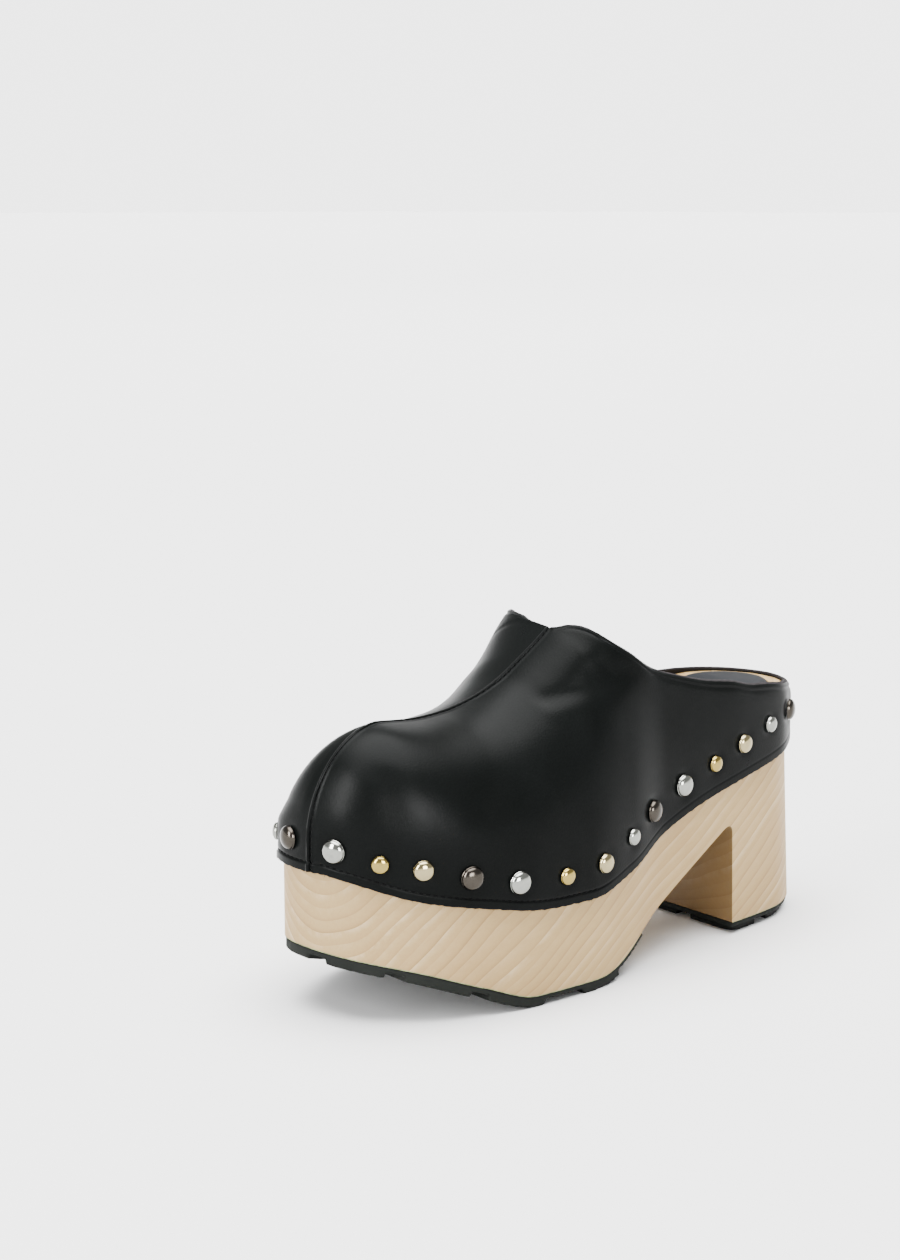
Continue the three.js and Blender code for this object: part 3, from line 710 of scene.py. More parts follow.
# %% Walking along a line
def length_along(line):
    """Distance walked along a polyline at each of its points."""
    return np.concatenate([[0], np.cumsum(np.linalg.norm(np.diff(line, axis=0), axis=1))])


def values_at(places, run, values):
    """Points or directions at distances along a polyline, between its own points."""
    return np.stack([np.interp(places, run, values[:, k]) for k in range(3)], -1)


def walk_round(side):
    """Distances from the seam along the band, with the way and the share of the length there."""
    ways = np.linspace(SEAM_WAY, side, 6001)
    base, at = leather_base(ways)
    return length_along(base), ways, at


# %% Where the columns stand
# Columns keep these distances from the seam, and rows from the seam or collar and from the hem
NEAR_EDGE = [0, 0.14, 0.28, 0.44, 0.62, 0.84, 1.1, 1.4, 1.75, 2.2, 2.8, 3.6, 4.8, 6.4]
NEAR_HEM = [0, 0.3, 0.6, 1.0, 1.5, 2.0, 2.4, 2.75, 3.0, 3.2, 3.45, 3.9, 4.6]
COLUMN_STEP = 1.5
LEVEL_FROM = 8
LEVEL_RUN = 30


def column_ways(side, outer_at=None, outer_walk=None):
    """Where the columns of one half stand, with one exactly at the throat.

    The inner half takes the outer half's steps at the toe and then its levels, so that the two
    meet point by point along the seam.
    """
    run, ways, at = walk_round(side)
    past_tip = int(np.argmin(at))
    throat = float(np.interp(THROAT, at[past_tip:], run[past_tip:]))
    if outer_at is None:
        front = np.linspace(NEAR_EDGE[-1], throat, int(throat / COLUMN_STEP))
        walk = np.concatenate([NEAR_EDGE[:-1], front])
    else:
        level = np.interp(outer_at, at[past_tip:], run[past_tip:])
        share = np.clip((outer_walk - LEVEL_FROM) / LEVEL_RUN, 0, 1)
        share = share * share * (3 - 2 * share)
        walk = outer_walk * (1 - share) + level * share
    back = np.linspace(throat, run[-1], int((run[-1] - throat) / COLUMN_STEP))[1:]
    return walk, np.interp(np.concatenate([walk, back]), run, ways)


# %% Points of both halves
MIDDLE_ROWS = 52
BAND_STEPS = 24
ARCH_STEPS = 150
ARCH_LEAN = 0.12


def leather_columns(side, ways):
    """Points of one half: a row for each column, from the hem up to the seam or the collar."""
    base, at = leather_base(ways)
    low, level = hem(at), bed(at)
    band = np.linspace(0, 1, BAND_STEPS, endpoint=False)
    upright = np.empty((len(ways), len(band), 3))
    upright[..., :2] = base[:, None]
    upright[..., 2] = low[:, None] + (level - low)[:, None] * band
    reach = 2 / math.pi * np.arcsin(np.minimum(collar_share[side](at), 1) ** (fullness[side](at) / 2))
    t = np.linspace(0, 1, ARCH_STEPS)
    reaches = reach[:, None] * (t + ARCH_LEAN * np.sin(math.pi * t) * reach[:, None])
    arch = arch_point(np.repeat(ways[:, None], len(t), 1), reaches, side)
    rows = []
    for line in np.concatenate([upright, arch], 1):
        run = length_along(line)
        top = run[-1]
        middle = np.linspace(NEAR_HEM[-1], top - NEAR_EDGE[-1], MIDDLE_ROWS)
        place = np.concatenate([NEAR_HEM[:-1], middle, top - np.array(NEAR_EDGE[-2::-1])])
        rows.append(values_at(place, run, line))
    return np.array(rows)


walk, outer_ways = column_ways(OUTER)
outer_at = leather_base(outer_ways)[1]
_, inner_ways = column_ways(INNER, outer_at[: len(walk)], walk)
halves = {OUTER: leather_columns(OUTER, outer_ways), INNER: leather_columns(INNER, inner_ways)}
THROAT_COLUMN = len(walk) - 1
print("leather:", halves[OUTER].shape, "and", halves[INNER].shape, "points")

# %% One net of points for both halves
def leather_net():
    """Points of both halves, and the vertex numbers of each half's grid, shared where they meet."""
    outer, inner = halves[OUTER], halves[INNER]
    columns, rows = outer.shape[:2]
    ids = np.arange(columns * rows).reshape(columns, rows)
    other = np.arange(inner.shape[0] * rows).reshape(-1, rows) + ids.size
    points = np.concatenate([outer.reshape(-1, 3), inner.reshape(-1, 3)])
    other[0] = ids[0]
    other[-1] = ids[-1]
    other[: THROAT_COLUMN + 1, -1] = ids[: THROAT_COLUMN + 1, -1]
    used, packed = np.unique(np.concatenate([ids.ravel(), other.ravel()]), return_inverse=True)
    ids = packed[: ids.size].reshape(ids.shape)
    other = packed[ids.size :].reshape(other.shape)
    return points[used], ids, other


def heights_along(points, ids):
    """Distance of each point of a grid from the hem, walked up its column."""
    steps = np.linalg.norm(np.diff(points[ids], axis=1), axis=2)
    return np.concatenate([np.zeros((len(ids), 1)), np.cumsum(steps, axis=1)], 1)


# %% Easing the toe
# Sections fan out over the toe's crown and meet in a fold there, which is rubbed out on the inner side
EASE_ROUNDS = 160
EASE_REACH = 0.1
EASE_ABOVE_BAND = 8
EASE_FROM_SEAM = 5


def eased_toe(points, ids):
    """Points near the toe's crown move towards the middle of their neighbours in the next sections."""
    above = heights_along(points, ids)
    below = above[:, -1:] - above
    ease = np.clip((above - BAND_DEPTH) / EASE_ABOVE_BAND, 0, 1) * np.clip(below / EASE_FROM_SEAM, 0, 1)
    ease *= np.exp(-(((share_of(points[ids[:, :1], 1]) - TOE_CROWN) / EASE_REACH) ** 2))
    first = len(NEAR_EDGE)
    ease = ease[first:-1, :, None]
    for _ in range(EASE_ROUNDS):
        grid = points[ids]
        middle = (grid[first - 1 : -2] + grid[first + 1 :]) / 2
        points[ids[first:-1]] += 0.5 * ease * (middle - grid[first:-1])
    return points


skin, outer_ids, inner_ids = leather_net()
skin = eased_toe(skin, inner_ids)
skin_faces = grid_faces(outer_ids) + grid_faces(inner_ids[::-1])
print(len(skin), "points on the leather")

# %% [markdown]
# ## Creases, seam and nails in the leather
# Leather is never quite smooth. Broad dents come from lasting and from the foot's bend, and they are
# placed here, each as a line with a width and a depth. A cloth simulation would wrinkle such
# stiff leather at random. The two halves roll up beside the seam and sink into it. The collar rolls in
# towards the foot behind the throat and is folded over, and each nail pulls the leather in at its head.

# %% Creases
# Share of its depth that a crease loses on the way from its start to its end
CREASE_FADE = 0.7
# Each crease runs between two points, each a share of the length and a height, in the same side's leather
Crease = namedtuple("Crease", "side at high to_at to_high width depth")
CREASES = [
    Crease(OUTER, 0.54, 125, 0.385, 114, 6.0, 1.9),
    Crease(OUTER, 0.375, 114.0, 0.43, 117.5, 2.2, 0.9),
    Crease(OUTER, 0.375, 110.5, 0.45, 111.5, 3.5, -0.5),
    Crease(OUTER, 0.45, 129, 0.40, 120, 5, -0.6),
    Crease(OUTER, 0.52, 103, 0.66, 97, 12, 0.9),
    Crease(OUTER, 0.20, 84, 0.27, 92, 9, 0.7),
    Crease(OUTER, 0.075, 94, 0.07, 74, 5, 0.5),
    Crease(OUTER, 0.30, 72, 0.36, 88, 10, -0.5),
    Crease(INNER, 0.46, 116, 0.58, 98, 8, 0.9),
    Crease(INNER, 0.40, 108, 0.54, 88, 9, -0.5),
    Crease(INNER, 0.22, 80, 0.30, 90, 9, 0.6),
    Crease(INNER, 0.33, 68, 0.44, 86, 10, 0.4),
]


def crease_depth(points):
    """How far the listed creases sink the leather at each point."""
    total = np.zeros(len(points))
    side = np.where(points[:, 0] > crown_side(share_of(points[:, 1])), OUTER, INNER)
    flat = points[:, 1:]
    for crease in CREASES:
        start = np.array([float(along_sole(crease.at)), crease.high])
        end = np.array([float(along_sole(crease.to_at)), crease.to_high])
        line = end - start
        t = np.clip((flat - start) @ line / (line @ line), 0, 1)
        away = np.linalg.norm(flat - start - t[:, None] * line, axis=1)
        fading = 1 - CREASE_FADE * t
        total += crease.depth * fading * np.exp(-((away / crease.width) ** 2)) * (side == crease.side)
    return total


# %% Distance from the seam
def line_distance(points, line):
    """Distance of each point from a polyline."""
    best = np.full(points.shape[:-1], np.inf)
    for start, end in zip(line[:-1], line[1:]):
        run = end - start
        if not run.any():
            continue
        t = np.clip((points - start) @ run / (run @ run), 0, 1)
        best = np.minimum(best, np.linalg.norm(points - start - t[..., None] * run, axis=-1))
    return best


def seam_ids():
    """Vertex numbers along the seam, from the hem at the toe up to the throat."""
    return np.concatenate([outer_ids[0, :-1], outer_ids[: THROAT_COLUMN + 1, -1]])


# %% Where the nails sit
def nail_places():
    """Middle, outward direction and size of each nail, read from its solid in the frame."""
    places = {}
    for name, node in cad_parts.items():
        if not name.startswith("stud"):
            continue
        points = np.array([v.co for v in node.data.vertices]) / MM - SHIFT
        middle = (points.min(0) + points.max(0)) / 2
        flat = np.linalg.svd(points - points.mean(0))[2][2]
        inside_shoe = np.array([0, 0.75 * middle[1], middle[2] - 5])
        if flat @ (middle - inside_shoe) < 0:
            flat = -flat
        height = points @ flat
        across = points - np.outer(height, flat)
        ring = np.linalg.norm(across - across.mean(0), axis=1)
        places[name] = (across.mean(0) + flat * height.min(), flat, 2 * ring.max())
    return places


nails = nail_places()
print(len(nails), "nails, sizes", sorted({round(float(n[2]), 1) for n in nails.values()}))

# %% Relief of the seam and the nails
# OUTER_ROLL is a share of the ridge, PULL_START, PULL_WIDTH and PULL_REACH are shares of a nail's
# radius, and the others are heights, widths and distances from the seam in millimetres
SEAM_RIDGE = 0.5
OUTER_ROLL = 0.45
RIDGE_PLACE = 0.9775
RIDGE_WIDTH = 0.55
SEAM_GROOVE = 0.9
GROOVE_OUTER = 0.5
GROOVE_INNER = 0.3
SHOULDER = 0.2
SHOULDER_WIDTH = 4.5
NAIL_PULL = 0.45
PULL_START = 0.8
PULL_WIDTH = 0.55
PULL_REACH = 3


def seam_relief(far, on_outer):
    """The inner half rolls over the outer one, with a gap between them for the thread."""
    roll = np.where(on_outer, OUTER_ROLL, 1.0) * SEAM_RIDGE
    ridge = roll * np.exp(-(((far - RIDGE_PLACE) / RIDGE_WIDTH) ** 2))
    shoulder = SHOULDER * np.exp(-((far / SHOULDER_WIDTH) ** 2))
    groove = SEAM_GROOVE * np.exp(-((far / np.where(on_outer, GROOVE_OUTER, GROOVE_INNER)) ** 2))
    return ridge + shoulder - groove


def nail_relief(points):
    """The leather sinks a little all round a nail's head."""
    total = np.zeros(len(points))
    for middle, _, size in nails.values():
        near = np.linalg.norm(points - middle, axis=1)
        ring = near / (size / 2)
        sunk = NAIL_PULL * np.exp(-((np.maximum(ring - PULL_START, 0) / PULL_WIDTH) ** 2))
        total += np.where(ring < PULL_REACH, sunk, 0)
    return total


# %% Distance from the edges
def edge_distances():
    """Height above the hem and distance below the collar for each point of the net."""
    above = np.zeros(len(skin))
    below = np.full(len(skin), 99.0)
    for ids in (outer_ids, inner_ids):
        run = heights_along(skin, ids)
        above[ids] = run
        behind = ids[THROAT_COLUMN + 1 :]
        below[behind] = (run[:, -1:] - run)[THROAT_COLUMN + 1 :]
    return above, below


# %% Skin with its creases
UPRIGHT_UP_TO = 30
LEVEL_BELOW = 0.5
LOOSE_RUN = 12
FIRM_COLLAR = 2
FIRM_RUN = 14
COLLAR_ROLL = 1.8
ROLL_WIDTH = 6.5
ROLL_START = 0.12

above_hem, below_collar = edge_distances()
normal = normals_of(skin, skin_faces)
on_band = (skin[:, 2] < bed(share_of(skin[:, 1]))) & (above_hem < UPRIGHT_UP_TO)
# The band stands upright on the wood, so there the relief goes level outwards
lower = on_band & (normal[:, 2] < LEVEL_BELOW)
normal[lower, 2] = 0
normal = unit(normal)
loose = np.clip((above_hem - BAND_DEPTH) / LOOSE_RUN, 0, 1)
loose *= np.clip((below_collar - FIRM_COLLAR) / FIRM_RUN, 0, 1)
behind_throat = np.clip((share_of(skin[:, 1]) - THROAT) / ROLL_START, 0, 1)
rolled = COLLAR_ROLL * np.clip(1 - below_collar / ROLL_WIDTH, 0, 1) ** 2
rolled *= behind_throat**2 * (3 - 2 * behind_throat)
sunk = crease_depth(skin) * loose
creased = skin - normal * (sunk + rolled)[:, None]
print("creases sink the leather up to", round(float(sunk.max()), 2), "mm")

# %% Fold of the collar
# The edge is turned in: plump at the top, with a fold a little below it
NO_COLLAR = 20
COLLAR_FOLD = 2.4
FOLD_WIDTH = 0.45
FOLD_DEPTH = 0.35
PLUMP_PLACE = 1.1
PLUMP_WIDTH = 0.8
PLUMP_EDGE = 0.25

at_collar = below_collar < NO_COLLAR
fold = FOLD_DEPTH * np.exp(-(((below_collar - COLLAR_FOLD) / FOLD_WIDTH) ** 2)) * at_collar
plump = PLUMP_EDGE * np.exp(-(((below_collar - PLUMP_PLACE) / PLUMP_WIDTH) ** 2)) * at_collar

# %% Step and stitch holes of the hem
# The hem stands out by a step and has a dip above it, both deeper where it is sewn. The step is
# largest on the inner side of the toe, where the strip's end shows beside the seam.
HEM_STEP = 0.2
HEM_SOFTNESS = 0.12
HEM_STITCH_END = 0.42
SEWN_FADE = 0.03
PLAIN_STEP = 0.45
TOE_STRIP_END = 0.12
TOE_STRIP_STEP = 2.2
PLAIN_DIP = 0.1
SEWN_DIP = 0.32
DIP_WIDTH = 0.4
DIP_ABOVE_HEM = 0.25
FAR_OFF = 30

on_outer = np.zeros(len(skin), bool)
on_outer[outer_ids] = True
on_outer[seam_ids()] = False
station = share_of(skin[:, 1])
sewn = np.clip((HEM_STITCH_END + SEWN_FADE - station) / (2 * SEWN_FADE), 0, 1)
step = PLAIN_STEP + (1 - PLAIN_STEP) * sewn
step = np.where(~on_outer & (station < TOE_STRIP_END), TOE_STRIP_STEP, step)
over_hem = np.clip((above_hem - HEM_WIDTH) / HEM_SOFTNESS, -FAR_OFF, FAR_OFF)
hem_edge = step * HEM_STEP / (1 + np.exp(over_hem))
stitch_dip = np.exp(-(((above_hem - HEM_WIDTH - DIP_ABOVE_HEM) / DIP_WIDTH) ** 2))
stitch_dip *= PLAIN_DIP + SEWN_DIP * sewn

# %% Outer and inner face
# The knife's path along the lower edge wavers a little
RAGGED = 0.09
RAGGED_HEIGHT = 0.5

seam_far = line_distance(creased, creased[seam_ids()])
relief = seam_relief(seam_far, on_outer) + plump - fold
relief += hem_edge - stitch_dip - nail_relief(creased)
outside = creased + normal * relief[:, None]
walked = skin[:, 1] + 0.6 * skin[:, 0]
ragged = RAGGED * (np.sin(1.9 * walked) + np.sin(3.1 * walked + 1) + 0.7 * np.sin(5.3 * walked + 2))
outside[:, 2] += ragged * np.exp(-above_hem / RAGGED_HEIGHT)
inside = creased - normal * LEATHER
print("relief from", round(relief.min(), 2), "to", round(relief.max(), 2), "mm")

# %% Build the upper
ROUND_ROWS = 4
HEM_BULGE = 0.25
COLLAR_BULGE = 0.8
SKIN_PART, LINING_PART, EDGE_PART = range(3)


def rim_strip(points, faces, kinds, outer_rim, inner_rim, outwards, bulge):
    """A rounded edge from the outer to the inner face; outwards says which way each rim point bulges."""
    rows = [np.asarray(outer_rim)]
    for i in range(1, ROUND_ROWS):
        angle = math.pi * i / ROUND_ROWS
        middle = (points[outer_rim] + points[inner_rim]) / 2
        arm = (points[outer_rim] - points[inner_rim]) / 2
        ring = middle + arm * math.cos(angle) + outwards * bulge * math.sin(angle)
        rows.append(np.arange(len(ring)) + len(points))
        points = np.concatenate([points, ring])
    rows.append(np.asarray(inner_rim))
    strip = grid_faces(np.array(rows))
    faces += strip
    kinds += [EDGE_PART] * len(strip)
    return points


def make_upper():
    """Outer face, lining and the two rounded edges between them."""
    count = len(skin)
    points = np.concatenate([outside, inside])
    faces = list(skin_faces)
    faces += [[count + v for v in reversed(face)] for face in skin_faces]
    kinds = [SKIN_PART] * len(skin_faces) + [LINING_PART] * len(skin_faces)
    hem_ids = np.concatenate([outer_ids[:, 0], inner_ids[::-1, 0]])
    down = np.tile([0.0, 0.0, -1.0], (len(hem_ids), 1))
    points = rim_strip(points, faces, kinds, hem_ids, hem_ids + count, down, HEM_BULGE)
    collar, below = (
        np.concatenate([outer_ids[THROAT_COLUMN:, row], inner_ids[THROAT_COLUMN:, row][::-1][1:]])
        for row in (-1, -3)
    )
    up = creased[collar] - creased[below]
    up[[0, -1]] = up[0] + up[-1]
    up = unit(up)[::-1]
    rim = collar[::-1]
    points = rim_strip(points, faces, kinds, rim, rim + count, up, COLLAR_BULGE)
    upper = new_piece("leather_upper", points, faces, kinds)
    for material in (LEATHER_SKIN, LINING, CUT_EDGE):
        upper.data.materials.append(material)
    finish_piece(upper, "black_leather", "upper")


make_upper()

# %% [markdown]
# ## The wooden sole
# The real sole is sawn and sanded from one block, with every edge just broken. A boolean would leave
# long thin triangles that bevel badly, so the block is laid out as grids: its sides, the leg of the
# heel, the underside and the top with the pocket for the insole. A bevel then breaks the edges.

# %% Stations of the wood
FILLET_STEPS = 9
BLOCK_ROWS = 14
LEG_ROWS = 18
FRONT_STATIONS = 90
HEEL_STATIONS = 70
FRONT_Y = float(along_sole(HEEL_FRONT))
LEG_TOP = NOTCH_HEIGHT - NOTCH_FILLET


def angle_of(y):
    """Angle of the outline at a place along the sole."""
    return np.arccos(np.clip(-2 * np.asarray(y, float) / SOLE_LENGTH, -1, 1)) / math.pi


def share_at(angle):
    """Share of the sole's length at an angle of the outline."""
    return share_of(-SOLE_LENGTH / 2 * np.cos(math.pi * angle))


def wood_stations():
    """Angles from tip to heel, heights of the block's lower edge, and the number where the heel starts."""
    fillet_start = FRONT_Y - NOTCH_FILLET
    angles = np.linspace(0, float(angle_of(fillet_start)), FRONT_STATIONS)
    low = underside(share_at(angles))
    t = np.linspace(0, 1, FILLET_STEPS + 1)[1:]
    start = np.array([fillet_start, NOTCH_HEIGHT - NOTCH_FILLET * SHANK_SLOPE])
    corner = np.array([FRONT_Y, NOTCH_HEIGHT])
    end = np.array([FRONT_Y, LEG_TOP])
    bend = np.outer((1 - t) ** 2, start) + np.outer(2 * t * (1 - t), corner) + np.outer(t * t, end)
    angles = np.concatenate([angles, angle_of(bend[:, 0])])
    low = np.concatenate([low, bend[:, 1]])
    leg = len(angles) - 1
    heel = np.linspace(angles[-1], 1, HEEL_STATIONS + 1)[1:]
    return np.concatenate([angles, heel]), np.concatenate([low, np.full(len(heel), LEG_TOP)]), leg


# %% Walls of the wood
def wall_points(side, angles, heights, shift=0.0):
    """Points of the wood's side at angles and heights, with the heel's lean."""
    flat = plan_point(side * (angles + np.zeros_like(heights)))
    at = share_of(flat[..., 1])
    lean = heel_lean(at, heights) + shift
    return np.stack([flat[..., 0], flat[..., 1] + lean, heights], -1)


def breast_lean(angles, heights):
    """The heel's front face leans back a little towards the floor, and its sides follow."""
    down = np.clip((LEG_TOP - heights) / (LEG_TOP - HEEL_TREAD), 0, 1)
    ahead = 1 - (share_at(angles) - HEEL_FRONT) / (1 - HEEL_FRONT)
    return HEEL_BREAST_LEAN * down * np.clip(ahead, 0, 1)


def pocket_edge(side, angles, drop):
    """Points of the pocket's edge on one side, below the bed by a drop."""
    base = edge_point(side * angles, -RIM_WIDTH)
    return np.column_stack([base, bed(share_of(base[:, 1])) - drop])


# %% Grids of the wood
def wood_grids():
    """Points of the block, the heel's leg, the rim and the pocket's floor, and the numbers in each."""
    angles, low, leg = wood_stations()
    high = bed(share_at(angles))
    heights = low[:, None] + (high - low)[:, None] * np.linspace(0, 1, BLOCK_ROWS)
    legs = angles[leg:]
    leg_heights = np.tile(np.linspace(HEEL_TREAD, LEG_TOP, LEG_ROWS), (len(legs), 1))
    lean = breast_lean(legs[:, None], leg_heights)
    net, ids = Net(), {}
    for side in (OUTER, INNER):
        ids["block", side] = net.add(wall_points(side, angles[:, None], heights))
        ids["leg", side] = net.add(wall_points(side, legs[:, None], leg_heights, lean))
        ids["rim", side] = net.add(pocket_edge(side, angles, 0))
        ids["floor", side] = net.add(pocket_edge(side, angles, POCKET_DEPTH))
    merge = np.arange(sum(map(len, net.points)))
    for key in ("block", "leg", "rim", "floor"):
        merge[ids[key, INNER][-1]] = ids[key, OUTER][-1]
        if key != "leg":
            merge[ids[key, INNER][0]] = ids[key, OUTER][0]
    for side in (OUTER, INNER):
        merge[ids["leg", side][:, -1]] = merge[ids["block", side][leg:, 0]]
    return net, {key: merge[grid] for key, grid in ids.items()}, leg


# %% Painted shade in the notch
SHADE_START = 0.6
SHADE_RUN = 0.15
ABOVE_TREAD = 2
AHEAD_OF_NOTCH = FRONT_Y - NOTCH_FILLET - 1


def paint_notch_shade(piece):
    """Marks the faces inside the notch, where a darker brown is painted in as shade."""
    mask = piece.data.attributes.new("notch", "FLOAT", "FACE")
    shares = []
    for face in piece.data.polygons:
        middle = face.center / MM - Vector(SHIFT)
        ahead = -face.normal.y if middle.y > AHEAD_OF_NOTCH else 0
        deep = min(max((share_of(middle.y) - SHADE_START) / SHADE_RUN, 0), 1)
        roof = -face.normal.z * deep if middle.z > HEEL_TREAD + ABOVE_TREAD else 0
        shares.append(min(max(ahead, roof, 0), 1) if middle.z < NOTCH_HEIGHT else 0)
    mask.data.foreach_set("value", np.array(shares, float))


# %% Build the wood
EDGE_BREAK = 0.8


def make_wood():
    """Sides, leg, rim and pocket, closed across the underside, the leg's front and the pocket."""
    net, ids, leg = wood_grids()
    for side in (OUTER, INNER):
        block, heel, rim, floor = (ids[key, side][::side] for key in ("block", "leg", "rim", "floor"))
        net.faces += grid_faces(block) + grid_faces(heel)
        net.faces += strip_faces(block[:, -1], rim) + strip_faces(rim, floor)
    net.faces += strip_faces(ids["block", INNER][: leg + 1, 0], ids["block", OUTER][: leg + 1, 0])
    net.faces += strip_faces(ids["leg", INNER][0], ids["leg", OUTER][0])[::-1]
    net.faces += strip_faces(ids["leg", INNER][:, 0], ids["leg", OUTER][:, 0])
    net.faces += strip_faces(ids["floor", OUTER], ids["floor", INNER])
    wood = net.piece("sole_wood", PALE_WOOD)
    tidy_mesh(wood)
    break_edges(wood, EDGE_BREAK)
    paint_notch_shade(wood)
    finish_piece(wood, "pale_wood", "wooden_sole")


make_wood()

# %% [markdown]
# ## Thread and raw edge
# A row of black stitches lies in the gap of the seam, and a second one runs along the lower edge round
# the toe. The lower edge itself is cut and not folded, so short fibres of the leather's flesh side stand
# out under it. Both are many small things, made in arrays and joined to one mesh each.

# %% Stitches
STITCH_STEP = 2.8
STITCH_LENGTH = 1.9
STITCH_THICK = 0.8
STITCH_SIDES = 6
STITCH_RINGS = 6
AIM_REACH = 0.8
SEAM_COLUMN = 4
HEM_STITCH_ROW = 10
HEM_STITCH_COLUMN = 9


def thread_finish():
    made = Finish("black_thread", (0.004, 0.004, 0.0045), 0.6)
    ply = made.noise(2600, 2.0)
    made.join(made.mix(ply, (0.001, 0.001, 0.001), (0.003, 0.003, 0.0033)), "Base Color")
    made.set("Specular IOR Level", 0.02)
    made.join(made.bump(ply, 0.00006, 0.5), "Normal")
    return made.material


def add_stitches(net, ids):
    """Stitches laid end to end along a line of the leather's points."""
    line = outside[ids]
    run = length_along(line)
    middles = np.arange(STITCH_STEP, run[-1] - STITCH_STEP / 2, STITCH_STEP)
    centre = values_at(middles, run, line)
    along = unit(values_at(middles + AIM_REACH, run, line) - values_at(middles - AIM_REACH, run, line))
    up = values_at(middles, run, normal[ids])
    side = unit(np.cross(along, up))
    angle = np.linspace(0, math.pi, STITCH_RINGS)
    around = np.linspace(0, 2 * math.pi, STITCH_SIDES, endpoint=False)
    ring = np.cos(around)[:, None, None] * side + np.sin(around)[:, None, None] * up
    points = (centre + along * STITCH_LENGTH / 2 * np.cos(angle)[:, None, None, None]
              + ring * STITCH_THICK / 2 * np.sin(angle)[:, None, None, None])
    for one in np.moveaxis(net.add(points), 2, 0):
        one = np.concatenate([one, one[:, :1]], 1)
        one[0], one[-1] = one[0, 0], one[-1, 0]
        net.faces += grid_faces(one)


def make_stitches():
    """One row beside the seam up to the throat, and one above the hem on either side of the toe."""
    up_the_toe = outer_ids[SEAM_COLUMN, : -1 - SEAM_COLUMN]
    along_the_top = outer_ids[SEAM_COLUMN : THROAT_COLUMN + 1, -1 - SEAM_COLUMN]
    rows = [np.concatenate([up_the_toe, along_the_top])]
    for ids, ways in ((outer_ids, outer_ways), (inner_ids, inner_ways)):
        front = ids[leather_base(ways)[1] < HEM_STITCH_END]
        rows.append(front[HEM_STITCH_COLUMN:, HEM_STITCH_ROW])
    net = Net()
    for ids in rows:
        add_stitches(net, ids)
    thread = net.piece("stitches", thread_finish())
    tidy_mesh(thread)
    finish_piece(thread, "black_leather")


make_stitches()

# %% Fibres of the raw edge
# Lengths in millimetres. ROOT and LIFT say how far in a fibre is rooted and how far out it leans.
FIBRE_COUNT = 900
FIBRE_SEED = 7
FIBRES_A_CLUMP = 5
CLUMP_SPREAD = 0.5
FIBRE_THICK = 0.11
FIBRE_SHORTEST = 0.35
FIBRE_RAISE = 0.15
FIBRE_ROOT = (0.2, 1.4)
FIBRE_LIFT = (-0.1, 0.9)
FIBRE_STRAY = 0.45
FIBRE_HANG = 0.8
FIBRE_CORNERS = (0, 2.1, 4.2)


def make_fibres():
    """Short pointed fibres that stand out below the cut edge."""
    chance = np.random.default_rng(FIBRE_SEED)
    hem_ids = np.concatenate([outer_ids[:, 0], inner_ids[::-1, 0]])
    edge = outside[hem_ids]
    out = normal[hem_ids]
    run = length_along(edge)
    clumps = chance.uniform(0, run[-1], FIBRE_COUNT // FIBRES_A_CLUMP)
    strewn = chance.normal(0, CLUMP_SPREAD, len(clumps) * FIBRES_A_CLUMP)
    places = np.clip(np.repeat(clumps, FIBRES_A_CLUMP) + strewn, 1, run[-1] - 1)
    outward = values_at(places, run, out)
    count = len(places)
    root = values_at(places, run, edge) - outward * chance.uniform(*FIBRE_ROOT, (count, 1))
    root += [0, 0, FIBRE_RAISE]
    aim = outward * chance.uniform(*FIBRE_LIFT, (count, 1)) + chance.normal(0, FIBRE_STRAY, (count, 3))
    aim = unit(aim - [0, 0, FIBRE_HANG])
    length = FIBRE_SHORTEST + chance.gamma(1.6, 0.28, (count, 1))
    sideways = unit(np.cross(aim, outward))
    upright = np.cross(sideways, aim)
    corners = []
    for angle in FIBRE_CORNERS:
        corners.append(root + FIBRE_THICK * (math.cos(angle) * sideways + math.sin(angle) * upright))
    net = Net()
    for a, b, c, tip in net.add(np.stack([*corners, root + aim * length], 1)).tolist():
        net.faces += [[a, b, tip], [b, c, tip], [c, a, tip]]
    finish_piece(net.piece("edge_fibres", CUT_EDGE), "black_leather")


make_fibres()

# %% [markdown]
# ## Rubber treads
# The treads are moulded and then glued on: a thin base with pairs of lugs, whose corners are all soft
# from the mould. The frame has them with sharp corners, so each is copied, remeshed in small cells
# and smoothed, which rounds every edge a little and changes nothing else. A thin line of glue has
# squeezed out between wood and rubber.

# %% Build the treads
RUBBER_CELL = 0.62
SOFTEN_ROUNDS = 3


def moulded(name, node):
    """A copy of a node's solid with soft corners, as rubber leaves a mould."""
    piece = bpy.data.objects.new(name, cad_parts[node].data.copy())
    bpy.context.scene.collection.objects.link(piece)
    piece.data.materials.clear()
    remesh = piece.modifiers.new("cells", "REMESH")
    remesh.mode = "VOXEL"
    remesh.voxel_size = RUBBER_CELL * MM
    smooth = piece.modifiers.new("soft", "SMOOTH")
    smooth.factor = 0.5
    smooth.iterations = SOFTEN_ROUNDS
    apply_modifiers(piece)
    shade_smooth(piece.data)
    piece.data.materials.append(RUBBER)
    finish_piece(piece, "tread_rubber", node)


moulded("tread_forefoot", "forefoot_tread")
moulded("tread_heel", "heel_tread")

# %% Glue line between wood and rubber
GLUE_OUT = -0.15
GLUE_LAP = 0.05
GLUE_HEEL_START = FRONT_Y + HEEL_BREAST_LEAN + 0.5
FOREFOOT_STEPS = 260
HEEL_STEPS = 120


def heel_underside(at):
    return np.full_like(at, HEEL_TREAD)


